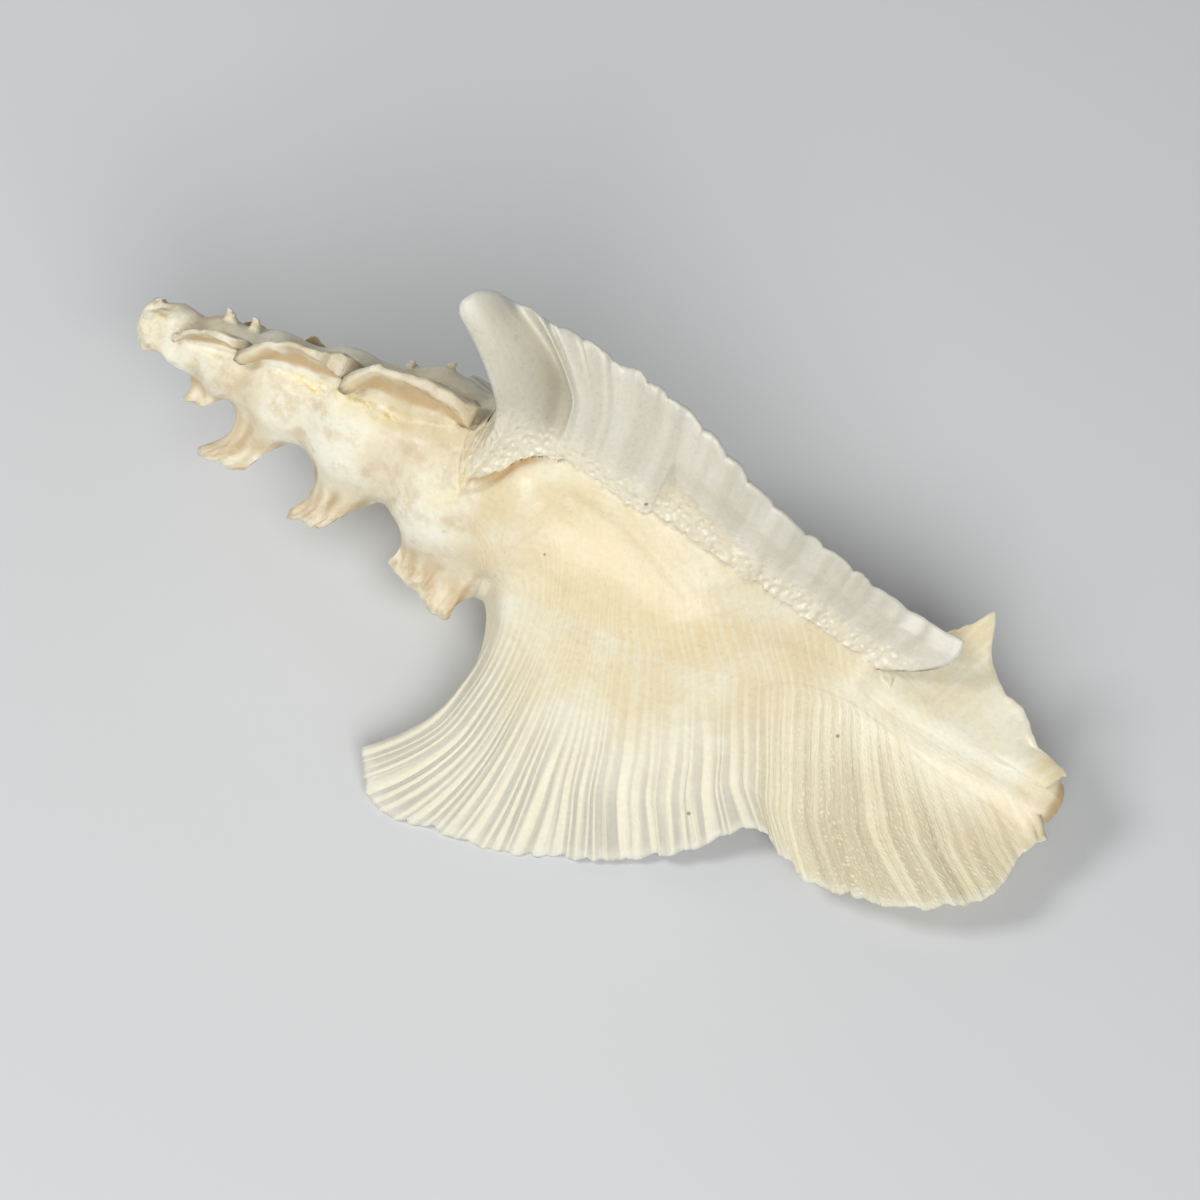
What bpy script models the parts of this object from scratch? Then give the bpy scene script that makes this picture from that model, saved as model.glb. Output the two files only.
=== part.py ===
# A three-winged murex shell, grown in one piece: a tall spire with curved spouts, a body whorl
# with three broad wings, an open mouth on the underside and a long canal with a narrow slit.
#
# The shell is first drawn along its own axis, in millimetres: x runs from the tip of the spire
# to the end of the canal, and an angle round the axis grows the way the shell grew. The last wing,
# at the mouth, lies near 180 degrees. It is then laid down as it rests, on the rims of two wings.

import math

import bmesh
import bpy
from mathutils import Matrix, Vector

mm = 0.001

# Driving dimensions along the axis
lip_suture = 30.7  # where the last suture meets the mouth's wing
whorl_count = 6.0
whorl_growth = 0.25  # natural logarithm of one whorl's growth in height
last_drop = 1.4  # the last suture bends towards the spire by this before it meets the wing
lip_angle = 180.0
canal_end = 74.9
canal_flatness = 0.35  # how much lower the upper side of the canal is than a round pipe

# Radius of the whorls at their widest, at stations along the axis
body_profile = [
    (0.0, 1.0),
    (0.35, 1.6),
    (1.2, 2.05),
    (3.0, 2.3),
    (6.0, 2.75),
    (10.0, 3.5),
    (15.0, 4.55),
    (20.0, 5.75),
    (25.0, 6.8),
    (30.0, 7.5),
    (34.0, 7.8),
    (37.0, 7.6),
    (41.0, 6.9),
    (45.0, 6.0),
    (50.0, 4.9),
    (55.0, 4.0),
    (60.0, 3.3),
    (65.0, 2.8),
    (70.0, 2.3),
    (canal_end, 1.5),
]
# Centre of each section, away from the straight axis: (station, sideways, up)
centre_line = [
    (0.0, 0.0, 0.0),
    (12.0, 0.66, 0.0),
    (25.0, 1.4, 0.0),
    (35.0, 1.5, 0.0),
    (45.0, 1.05, -0.1),
    (52.0, 0.7, -0.4),
    (60.0, 0.2, -0.9),
    (68.0, 0.0, -1.0),
    (canal_end, 0.0, -0.8),
]
suture_depth = 0.19  # share of the radius
shoulder_reach = 0.22  # of the whorl's height, below a suture
base_reach = 0.38  # of the whorl's height, above a suture
growth_swell = 0.14  # how much wider the last whorl is after one turn

# Angles round the axis of the lines that the wings and the mouth follow, at stations
first_wing_line = [(2, 98), (7, 84), (12, 76), (18, 68), (25, 58), (35, 54), (45, 55), (52, 47), (58, 36), (66, 34)]
lip_wing_line = [(2, 208), (12, 198), (20, 190), (28, 186), (35, 184), (45, 183), (52, 178), (60, 168), (68, 163)]
mouth_line = [(0, 262), (28, 236), (37, 227), (43, 230), (50, 236), (60, 243), (75, 246)]
under_wing_line = [(2, 330), (8, 322), (13, 315), (20, 306), (28, 297), (35, 291), (45, 293), (55, 298), (65, 304)]
flange_line = [(2, 396), (12, 380), (25, 358), (40, 352), (52, 358), (60, 364), (68, 372), (75, 374)]

# Columns of faces between one line and the next, going round
columns_between = (8, 5, 5, 4, 4)
ring_spacing = 1.25  # on the rim of the mouth's wing
spire_spacing = 0.85

# Wings: where a rib leaves the body, the bend that it aims for, where it ends, and how far
# from the axis it ends
lip_wing_ribs = [
    (32.0, 35.2, 28.6, 21.4),
    (33.6, 36.9, 30.0, 23.6),
    (35.2, 37.6, 31.8, 24.7),
    (36.6, 38.4, 34.6, 24.6),
    (37.9, 39.4, 37.6, 23.9),
    (39.3, 41.0, 41.0, 23.2),
    (41.6, 44.0, 46.4, 20.8),
    (44.8, 47.6, 50.4, 18.4),
    (48.4, 51.0, 53.5, 15.6),
    (51.6, 54.0, 55.9, 12.6),
    (53.8, 56.0, 57.4, 12.6),
    (55.6, 58.4, 60.6, 13.9),
    (59.7, 62.6, 64.8, 13.3),
    (63.6, 66.6, 68.6, 12.1),
    (66.8, 69.4, 71.3, 10.6),
    (70.0, 72.2, 73.6, 8.0),
    (72.2, 73.4, 74.0, 4.6),
    (73.9, 74.6, 75.2, 2.4),
]
first_wing_ribs = [
    (26.6, 25.2, 20.4, 16.4),
    (28.0, 26.5, 20.8, 18.3),
    (29.2, 28.0, 22.6, 18.9),
    (30.5, 29.8, 25.2, 18.5),
    (32.0, 31.8, 27.8, 17.9),
    (34.0, 33.6, 31.2, 17.6),
    (37.0, 37.0, 35.5, 17.1),
    (41.0, 41.3, 40.5, 15.9),
    (45.0, 45.3, 45.0, 13.6),
    (49.0, 49.4, 49.4, 11.4),
    (53.0, 53.5, 53.5, 9.9),
    (57.0, 57.4, 57.6, 8.1),
    (60.5, 60.9, 61.3, 7.8),
    (63.0, 63.3, 63.6, 6.6),
]
under_wing_ribs = [
    (24.6, 23.6, 20.4, 13.4),
    (26.0, 25.2, 20.4, 15.8),
    (27.4, 26.8, 21.8, 17.3),
    (29.2, 29.0, 24.6, 17.8),
    (31.5, 31.6, 28.6, 17.5),
    (35.0, 35.4, 33.8, 16.8),
    (39.0, 39.6, 39.2, 15.7),
    (43.0, 43.8, 44.0, 14.6),
    (47.0, 48.0, 48.6, 13.0),
    (51.0, 52.2, 53.2, 10.9),
    (55.0, 56.2, 57.4, 9.0),
    (58.5, 59.6, 60.6, 6.9),
    (61.0, 61.8, 62.6, 4.8),
]
flange_ribs = [
    (57.6, 58.6, 59.6, 5.2),
    (59.2, 60.4, 61.6, 7.0),
    (60.6, 62.0, 63.2, 8.7),
    (61.8, 63.2, 64.2, 10.1),
    (63.2, 64.4, 65.3, 7.5),
    (65.2, 66.3, 67.2, 5.7),
    (67.4, 68.6, 69.4, 5.0),
    (69.6, 70.9, 71.9, 2.8),
    (71.8, 72.6, 73.2, 2.2),
    (73.4, 73.9, 74.3, 1.7),
]

# Each wing: the angle it leans from straight out, the angle it has turned back at its rim, its
# thickness near the root, in the middle and at the rim, the width of its foot behind and before
# it, and how many steps it is drawn in
lip_wing_form = {"lean": -3.0, "curl": -5.0, "thick": (1.5, 1.0, 0.5), "foot": (2.4, 1.0), "steps": 6}
first_wing_form = {"lean": 9.0, "curl": -38.0, "thick": (1.4, 0.9, 0.5), "foot": (2.0, 0.9), "steps": 5}
under_wing_form = {"lean": 0.0, "curl": -22.0, "thick": (1.4, 0.9, 0.5), "foot": (2.0, 1.2), "steps": 5}
flange_form = {"lean": -8.0, "curl": 4.0, "thick": (1.2, 0.9, 0.5), "foot": (1.3, 1.3), "steps": 3}
spout_form = {"lean": 4.0, "curl": -14.0, "thick": (1.2, 0.8, 0.6), "foot": (1.5, 1.0), "steps": 4}
foot_fade = 1.7  # how fast a foot's width fades with height
rib_height = 0.14
fold_height = 0.5
shoulder_curl = 1.8

# Spouts of the spire on each line, from the mouth up: the stretch of the line that each stands on,
# the stretches that its waist and its rim span, how far from the axis the rim is at either end,
# and how deep it is hollowed
lip_line_spouts = [
    (23.0, 30.2, 25.2, 28.4, 24.0, 29.5, 8.9, 10.4, 0.7),
    (15.4, 21.0, 18.0, 19.6, 16.1, 18.6, 8.9, 8.2, 0.7),
    (8.9, 13.6, 10.9, 12.2, 8.0, 11.7, 7.9, 7.1, 0.6),
    (4.6, 8.2, 6.0, 7.6, 5.2, 7.4, 4.6, 4.2, 0.3),
]
first_line_spouts = [
    (17.6, 25.4, 17.4, 23.0, 15.6, 21.5, 7.4, 9.0, 1.1),
    (9.4, 16.4, 9.2, 14.0, 7.4, 12.6, 5.2, 6.0, 0.9),
    (4.6, 8.9, 4.6, 7.6, 3.2, 6.6, 3.4, 3.9, 0.4),
]
under_line_spouts = [
    (17.6, 24.0, 18.8, 22.6, 18.6, 22.4, 8.6, 8.4, 0.8),
    (10.6, 16.0, 11.6, 14.6, 11.2, 14.2, 5.9, 6.0, 0.7),
    (6.2, 9.8, 7.0, 9.0, 6.6, 8.6, 4.3, 4.4, 0.4),
]

# The mouth: an oval hole with a raised rim, that turns inwards round the pillar
mouth_station = 37.0
mouth_half_length = 5.4
mouth_half_width = 3.2
mouth_rim_height = 0.55
throat_turn = 150.0  # degrees that the hollow runs back round the pillar
throat_radius = 4.0
throat_half_length = 4.0
throat_half_width = 2.5
throat_climb = 1.8
throat_steps = 6

canal_slit_start = 43.4
canal_slit_depth = 1.3

# How the whorl swells towards the foot of a wing, behind and before it
root_swell = 1.3
behind_reach = 3.6
before_reach = 1.4

# At rest: turned about the axis and tipped towards the canal, then set down on the surface so
# that the two rims that it rests on are worn flat there
rest_roll = 28.0
rest_pitch = 8.0
rest_place = (-37.12, 2.84, 15.97)

shell_colour = (0.88, 0.83, 0.70, 1.0)
shell_roughness = 0.45


def smooth_between(stations, at):
    """A smooth curve through the stations: their first number is the place, the rest are values."""
    last = len(stations) - 1
    if at <= stations[0][0]:
        return stations[0][1:]
    if at >= stations[last][0]:
        return stations[last][1:]
    k = next(i for i in range(last) if stations[i + 1][0] >= at)
    here, there = stations[k], stations[k + 1]
    span = there[0] - here[0]
    t = (at - here[0]) / span
    values = []
    for v in range(1, len(here)):
        slopes = []
        for i in (k, k + 1):
            before, after = stations[max(i - 1, 0)], stations[min(i + 1, last)]
            slopes.append((after[v] - before[v]) / (after[0] - before[0]) * span)
        values.append(
            (2 * t**3 - 3 * t**2 + 1) * here[v]
            + (t**3 - 2 * t**2 + t) * slopes[0]
            + (3 * t**2 - 2 * t**3) * there[v]
            + (t**3 - t**2) * slopes[1]
        )
    return tuple(values)


def ease(t):
    t = min(max(t, 0.0), 1.0)
    return t * t * (3 - 2 * t)


def outward(angle):
    """Unit vector away from the axis at this angle in degrees."""
    turn = math.radians(angle)
    return Vector((0.0, math.cos(turn), math.sin(turn)))


def suture_station(whorl):
    """Where the suture lies along the axis, counting whorls back from the mouth."""
    start = math.exp(-whorl_growth * whorl_count)
    along = lip_suture * (math.exp(whorl_growth * whorl) - start) / (1 - start)
    return along - last_drop * math.exp(-(((whorl + 0.32) / 0.17) ** 2))


def suture_share(station, angle):
    """Share of the radius that is left in the grooves of the sutures."""
    left = 1.0
    turned = (angle % 360.0 - lip_angle) / 360.0
    for number in range(-int(whorl_count), 1):
        whorl = turned + number
        if whorl > 0.02:
            continue
        place = suture_station(whorl)
        height = max(suture_station(whorl + 1) - place, 1.0)
        away = (station - place) / height
        reach = shoulder_reach if away > 0 else base_reach
        fade = ease(-whorl / 0.06 + 0.3)
        left -= suture_depth * fade * math.exp(-((away / reach) ** 2))
    return max(left, 0.7)


def last_whorl_swell(station, angle):
    """The last whorl grows wider towards the mouth, and narrower again past it."""
    angle = angle % 360.0
    past = mouth_angle(station) + 34.0
    if angle > past:
        share = (angle - past) / (540.0 - past)
    elif angle <= lip_angle:
        share = (angle + 360.0 - past) / (540.0 - past)
    else:
        share = 1.0 - ease((angle - lip_angle) / (past - lip_angle))
    where = ease((station - 24.0) / 8.0) * ease((62.0 - station) / 12.0)
    return 1.0 + growth_swell * (share - 0.6) * where


def mouth_angle(station):
    return smooth_between(mouth_line, station)[0]


def line_angle(line, station):
    return smooth_between(line, station)[0]


def arc_from(line, station, angle, radius):
    """Signed distance round the whorl from a line, in millimetres, growing with the shell."""
    apart = (angle - line_angle(line, station) + 180.0) % 360.0 - 180.0
    return math.radians(apart) * radius


def mouth_reach(station, angle, radius):
    """0 in the middle of the mouth, 1 on its edge."""
    along = (station - mouth_station) / mouth_half_length
    across = arc_from(mouth_line, station, angle, radius) / mouth_half_width
    return math.hypot(along, across)


def root_presence(stretches, station):
    """1 where a wing or a spout stands on its line, 0 between them."""
    most = 0.0
    for start, end in stretches:
        most = max(most, ease((station - start + 0.8) / 1.6) * ease((end + 0.8 - station) / 1.6))
    return most


def stretches_of(wing, spouts):
    found = [(wing[0][0], wing[-1][0])]
    found += [(spout[0], spout[1]) for spout in spouts]
    return found


lines = [
    (first_wing_line, stretches_of(first_wing_ribs, first_line_spouts)),
    (lip_wing_line, stretches_of(lip_wing_ribs, lip_line_spouts)),
    (under_wing_line, stretches_of(under_wing_ribs, under_line_spouts)),
    (flange_line, stretches_of(flange_ribs, [])),
]


def body_radius(station, angle):
    """Radius of the whorl, with sutures, the swelling at the wings' roots, the mouth's rim and the slit."""
    widest = smooth_between(body_profile, station)[0]
    radius = widest * suture_share(station, angle) * last_whorl_swell(station, angle)
    size = min(widest / 6.0, 1.0)
    topside = max(math.sin(math.radians(angle)), 0.0) ** 2
    radius *= 1 - canal_flatness * topside * ease((station - 46.0) / 14.0)
    for line, stretches in lines:
        presence = root_presence(stretches, station)
        away = arc_from(line, station, angle, radius)
        reach = (behind_reach if away < 0 else before_reach) * size
        radius += root_swell * size * presence / math.cosh(away / reach)
    edge = mouth_reach(station, angle, radius)
    radius += mouth_rim_height * math.exp(-(((edge - 1.12) / 0.2) ** 2))
    slit = ease((station - canal_slit_start) / 2.0)
    across = arc_from(mouth_line, station, angle, radius)
    radius -= canal_slit_depth * min(widest / 3.0, 1.0) * slit * math.exp(-((across / 0.42) ** 2))
    return radius


def body_point(station, angle):
    sideways, up = smooth_between(centre_line, station)
    return Vector((station, sideways, up)) + outward(angle) * body_radius(station, angle)


def column_angles(station):
    """Angles of all columns at a station: the lines, the feet either side of each, and even steps."""
    widest = smooth_between(body_profile, station)[0]
    size = math.degrees(min(widest / 6.0, 1.0) / widest)
    anchors = [
        (line_angle(first_wing_line, station), first_wing_form["foot"]),
        (line_angle(lip_wing_line, station), lip_wing_form["foot"]),
        (mouth_angle(station), None),
        (line_angle(under_wing_line, station), under_wing_form["foot"]),
        (line_angle(flange_line, station), flange_form["foot"]),
    ]
    anchors.append((anchors[0][0] + 360.0, first_wing_form["foot"]))
    angles = []
    for k, count in enumerate(columns_between):
        (start, start_foot), (end, end_foot) = anchors[k], anchors[k + 1]
        even = (end - start) / count
        inner_start = start + (min(start_foot[1] * size, 1.4 * even) if start_foot else even)
        inner_end = end - (min(end_foot[0] * size, 1.4 * even) if end_foot else even)
        angles.append(start)
        for j in range(count - 1):
            angles.append(inner_start + (inner_end - inner_start) * j / (count - 2))
    return angles


first_column = 0
lip_column = columns_between[0]
mouth_column = lip_column + columns_between[1]
under_column = mouth_column + columns_between[2]
flange_column = under_column + columns_between[3]
column_count = sum(columns_between)


def ring_stations():
    """Stations of the rings: even on the spire, and even along the rim of the mouth's wing after it."""
    stations = [0.0, 0.35, 0.9]
    while stations[-1] + spire_spacing < lip_wing_ribs[0][0]:
        stations.append(stations[-1] + spire_spacing)
    stations[-1] = lip_wing_ribs[0][0]
    step = 0.02
    at, walked = stations[-1], 0.0
    while at < lip_wing_ribs[-1][0]:
        here = smooth_between(lip_wing_ribs, at)
        there = smooth_between(lip_wing_ribs, at + step)
        walked += max(math.hypot(there[1] - here[1], there[2] - here[2]), step)
        at += step
        if walked >= ring_spacing:
            stations.append(at)
            walked = 0.0
    stations[-1] = lip_wing_ribs[-1][0]
    stations.append(canal_end)
    return stations


def draw_whorls(bm, stations):
    """A ring at the tip of the spire, drawn out ring by ring to the end of the canal."""
    columns = bm.verts.layers.int.new("column")
    rings = bm.verts.layers.int.new("ring")
    ring = bmesh.ops.create_circle(bm, segments=column_count, radius=1.0, cap_ends=True)["verts"]
    for c, v in enumerate(ring):
        v[columns] = c
    edges = [e for e in bm.edges]
    grid = []
    for i, station in enumerate(stations):
        if i:
            made = bmesh.ops.extrude_edge_only(bm, edges=edges)["geom"]
            ring = [g for g in made if isinstance(g, bmesh.types.BMVert)]
            edges = [g for g in made if isinstance(g, bmesh.types.BMEdge)]
        angles = column_angles(station)
        placed = {}
        for v in ring:
            v[rings] = i
            v.co = body_point(station, angles[v[columns]])
            placed[v[columns]] = v
        grid.append(placed)
    bmesh.ops.holes_fill(bm, edges=edges)
    return grid


def strip_faces(bm, grid, column, first, last):
    """The faces either side of a column, from one ring to another."""
    faces = []
    for i in range(first, last):
        for c in (column - 1, column):
            corners = [grid[r][k % column_count] for r, k in ((i, c), (i, c + 1), (i + 1, c + 1), (i + 1, c))]
            faces.append(bm.faces.get(corners))
    return faces


def sheet_point(form, line, path, out, side, share, offset):
    """A point of a wing or a spout: out is 0 at the root and 1 at the rim, side -1 behind, 1 before.

    The path holds the stations of its root, its bend and its rim, and the rim's distance from the axis.
    """
    root, bend, rim, distance = path
    angle = line_angle(line, root)
    base = body_point(root, angle)
    size = min(smooth_between(body_profile, root)[0] / 6.0, 1.0)
    half_curl = math.radians(form["curl"]) / 2
    gain = math.sin(half_curl) / half_curl * math.cos(math.radians(form["lean"]) + half_curl)
    reach = max((distance - body_radius(root, angle)) / gain, 0.3)
    height = reach * out
    half = half_curl * out
    turned = angle + form["lean"] + form["curl"] * out
    place = base + outward(angle + form["lean"] + math.degrees(half)) * (height * math.sin(half) / half)
    near, middle, rim_thick = form["thick"]
    thick = smooth_between([(0.0, near), (0.45, middle), (1.0, rim_thick)], out)[0] * share * size**0.5
    foot = form["foot"][0 if side < 0 else 1] * size
    width = thick / 2 + max(foot - thick / 2, 0.0) * math.exp(-height / foot_fade / size)
    place += outward(turned + 90.0) * (side * width + offset)
    place.x = (1 - out) ** 2 * root + 2 * out * (1 - out) * bend + out**2 * rim
    return place


def draw_out(bm, faces):
    """Extrudes a patch of faces. Gives back the patch in its new place, and its points."""
    edges = list({e for face in faces for e in face.edges})
    made = bmesh.ops.extrude_face_region(bm, geom=faces + edges)["geom"]
    patch = [g for g in made if isinstance(g, bmesh.types.BMFace)]
    return patch, [g for g in made if isinstance(g, bmesh.types.BMVert)]


def raise_sheet(bm, grid, stations, column, first, last, steps, place):
    """Draws the strip of faces at a column outwards in steps. place(ring, out, side) gives each point."""
    rings = bm.verts.layers.int["ring"]
    columns = bm.verts.layers.int["column"]
    faces = strip_faces(bm, grid, column, first, last)
    for step in range(1, steps + 1):
        faces, raised = draw_out(bm, faces)
        for v in raised:
            side = (v[columns] - column + 1) % column_count - 1
            v.co = place(v[rings], (step / steps) ** 1.2, side)


def nearest_ring(stations, at):
    return min(range(len(stations)), key=lambda i: abs(stations[i] - at))


def end_taper(share_along):
    """A sheet thins to a fine edge at its two ends."""
    return 0.55 + 0.45 * ease(min(share_along, 1 - share_along) / 0.06)


def raise_wing(bm, grid, stations, line, column, ribs, form, relief):
    first = nearest_ring(stations, ribs[0][0])
    last = nearest_ring(stations, ribs[-1][0])

    def place(ring, out, side):
        root = stations[ring]
        path = (root,) + smooth_between(ribs, root)
        along = (ring - first) / (last - first)
        return sheet_point(form, line, path, out, side, end_taper(along), relief(ring - first, along, out))

    raise_sheet(bm, grid, stations, column, first, last, form["steps"], place)


def ribs_relief(count, along, out):
    """Every other ring stands proud, as a rib that fades towards the root."""
    return rib_height / 2 * (1 if count % 2 else -1) * ease(out * 1.6)


def folds_relief(count, along, out):
    """The first wing is pleated, and its shoulder turns forwards."""
    pleat = math.cos(count * math.pi / 2.0) * (1 - 0.7 * along)
    return out**1.3 * (shoulder_curl * math.exp(-((along / 0.09) ** 2)) + fold_height * pleat / 2)


def raise_spout(bm, grid, stations, line, column, spout):
    start, end, waist_start, waist_end, rim_start, rim_end, far_start, far_end, hollow = spout
    first, last = nearest_ring(stations, start), nearest_ring(stations, end)

    def place(ring, out, side):
        along = (ring - first) / (last - first)
        root = stations[ring]
        bend = waist_start + (waist_end - waist_start) * along
        rim = rim_start + (rim_end - rim_start) * along
        distance = (far_start + (far_end - far_start) * along) * (1.04 - 0.04 * (2 * along - 1) ** 2)
        cupped = hollow * ((2 * along - 1) ** 2 - 0.6) * ease(out * 1.5)
        return sheet_point(spout_form, line, (root, bend, rim, distance), out, side, end_taper(along), cupped)

    raise_sheet(bm, grid, stations, column, first, last, spout_form["steps"], place)


def throat_frame(depth):
    """Centre of the hollow at a depth from 0 to 1, and the direction across it towards the pillar."""
    radius = body_radius(mouth_station, mouth_angle(mouth_station))

    def centre(at):
        angle = mouth_angle(mouth_station) - throat_turn * max(at, 0.0) ** 1.5
        inwards = ease(at / 0.42)
        station = mouth_station - throat_climb * at
        sideways, up = smooth_between(centre_line, station)
        away = radius + (throat_radius - radius) * inwards
        return Vector((station, sideways, up)) + outward(angle) * away

    here = centre(depth)
    ahead = centre(depth + 0.02) - centre(depth - 0.02 if depth > 0.02 else 0.0)
    ahead.x = 0.0
    ahead.normalize()
    across = Vector((0.0, ahead.z, -ahead.y))
    return here, across


def open_mouth(bm, grid, stations):
    """Sinks the oval of faces at the mouth inwards, round the pillar."""
    rings = bm.verts.layers.int["ring"]
    columns = bm.verts.layers.int["column"]

    def local(v):
        station = stations[v[rings]]
        angle = column_angles(station)[v[columns]]
        radius = body_radius(station, angle)
        along = (station - mouth_station) / mouth_half_length
        across = arc_from(mouth_line, station, angle, radius) / mouth_half_width
        return along, across

    inside = []
    for face in bm.faces:
        if len(face.verts) != 4 or any(not lip_column < v[columns] < under_column for v in face.verts):
            continue
        places = [local(v) for v in face.verts]
        if math.hypot(sum(p[0] for p in places) / 4, sum(p[1] for p in places) / 4) < 1.0:
            inside.append(face)
    chosen = set(inside)
    flat = {}
    for v in {v for face in inside for v in face.verts}:
        along, across = local(v)
        if any(f not in chosen for f in v.link_faces):
            reach = math.hypot(along, across)
            along, across = along / reach, across / reach
            station = mouth_station + along * mouth_half_length
            radius = body_radius(station, mouth_angle(station) + 20.0 * across)
            turn = math.degrees(across * mouth_half_width / radius)
            v.co = body_point(station, mouth_angle(station) + turn)
        flat[(v[rings], v[columns])] = (along, across)
    faces = inside
    for step in range(1, throat_steps + 1):
        depth = step / throat_steps
        faces, sunk = draw_out(bm, faces)
        centre, across_way = throat_frame(depth)
        narrowing = ease(depth * 2.2)
        half_length = mouth_half_length + (throat_half_length - mouth_half_length) * narrowing
        half_width = mouth_half_width + (throat_half_width - mouth_half_width) * narrowing
        for v in sunk:
            along, across = flat[(v[rings], v[columns])]
            v.co = centre + Vector((along * half_length, 0, 0)) + across_way * across * half_width


def lay_down(bm):
    """Turns the shell as it rests, sets it on the surface, and wears its lowest rims flat."""
    turn = Matrix.Rotation(math.radians(rest_pitch), 4, "Y") @ Matrix.Rotation(math.radians(rest_roll), 4, "X")
    bmesh.ops.transform(bm, matrix=turn, verts=bm.verts)
    bmesh.ops.translate(bm, vec=Vector(rest_place), verts=bm.verts)
    cut = bmesh.ops.bisect_plane(
        bm,
        geom=bm.verts[:] + bm.edges[:] + bm.faces[:],
        plane_co=(0, 0, 0),
        plane_no=(0, 0, 1),
        clear_inner=True,
    )
    rim = [g for g in cut["geom_cut"] if isinstance(g, bmesh.types.BMEdge)]
    if rim:
        bmesh.ops.holes_fill(bm, edges=rim)


def shell_material():
    material = bpy.data.materials.new("shell")
    material.use_nodes = True
    shader = material.node_tree.nodes["Principled BSDF"]
    shader.inputs["Base Color"].default_value = shell_colour
    shader.inputs["Roughness"].default_value = shell_roughness
    shader.inputs["Metallic"].default_value = 0.0
    return material


def build_shell():
    bm = bmesh.new()
    stations = ring_stations()
    grid = draw_whorls(bm, stations)
    raise_wing(bm, grid, stations, lip_wing_line, lip_column, lip_wing_ribs, lip_wing_form, ribs_relief)
    raise_wing(bm, grid, stations, first_wing_line, first_column, first_wing_ribs, first_wing_form, folds_relief)
    raise_wing(bm, grid, stations, under_wing_line, under_column, under_wing_ribs, under_wing_form, ribs_relief)
    raise_wing(bm, grid, stations, flange_line, flange_column, flange_ribs, flange_form, ribs_relief)
    for line, column, spouts in (
        (lip_wing_line, lip_column, lip_line_spouts),
        (first_wing_line, first_column, first_line_spouts),
        (under_wing_line, under_column, under_line_spouts),
    ):
        for spout in spouts:
            raise_spout(bm, grid, stations, line, column, spout)
    open_mouth(bm, grid, stations)
    lay_down(bm)
    bmesh.ops.triangulate(bm, faces=bm.faces)
    bmesh.ops.recalc_face_normals(bm, faces=bm.faces)
    bmesh.ops.scale(bm, vec=Vector((mm, mm, mm)), verts=bm.verts)
    mesh = bpy.data.meshes.new("shell")
    bm.to_mesh(mesh)
    bm.free()
    mesh.shade_smooth()
    mesh.materials.append(shell_material())
    shell = bpy.data.objects.new("shell", mesh)
    bpy.context.scene.collection.objects.link(shell)
    return shell


for old in list(bpy.data.objects):
    bpy.data.objects.remove(old)
build_shell()
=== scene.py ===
import functools
import math

import bmesh
import bpy
from mathutils import Matrix, Vector, noise


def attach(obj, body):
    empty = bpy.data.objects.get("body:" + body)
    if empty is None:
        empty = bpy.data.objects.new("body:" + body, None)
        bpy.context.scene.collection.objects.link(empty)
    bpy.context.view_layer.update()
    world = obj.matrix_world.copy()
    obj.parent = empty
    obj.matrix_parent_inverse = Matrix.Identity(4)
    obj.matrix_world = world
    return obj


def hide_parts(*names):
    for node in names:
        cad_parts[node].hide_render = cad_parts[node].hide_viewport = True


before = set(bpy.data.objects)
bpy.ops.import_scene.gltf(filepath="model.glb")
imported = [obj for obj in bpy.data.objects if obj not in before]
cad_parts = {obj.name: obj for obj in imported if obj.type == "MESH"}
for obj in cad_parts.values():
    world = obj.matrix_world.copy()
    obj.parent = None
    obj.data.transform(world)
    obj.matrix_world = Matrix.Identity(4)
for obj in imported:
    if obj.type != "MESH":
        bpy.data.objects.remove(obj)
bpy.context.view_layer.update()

millimetre = 0.001

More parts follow.
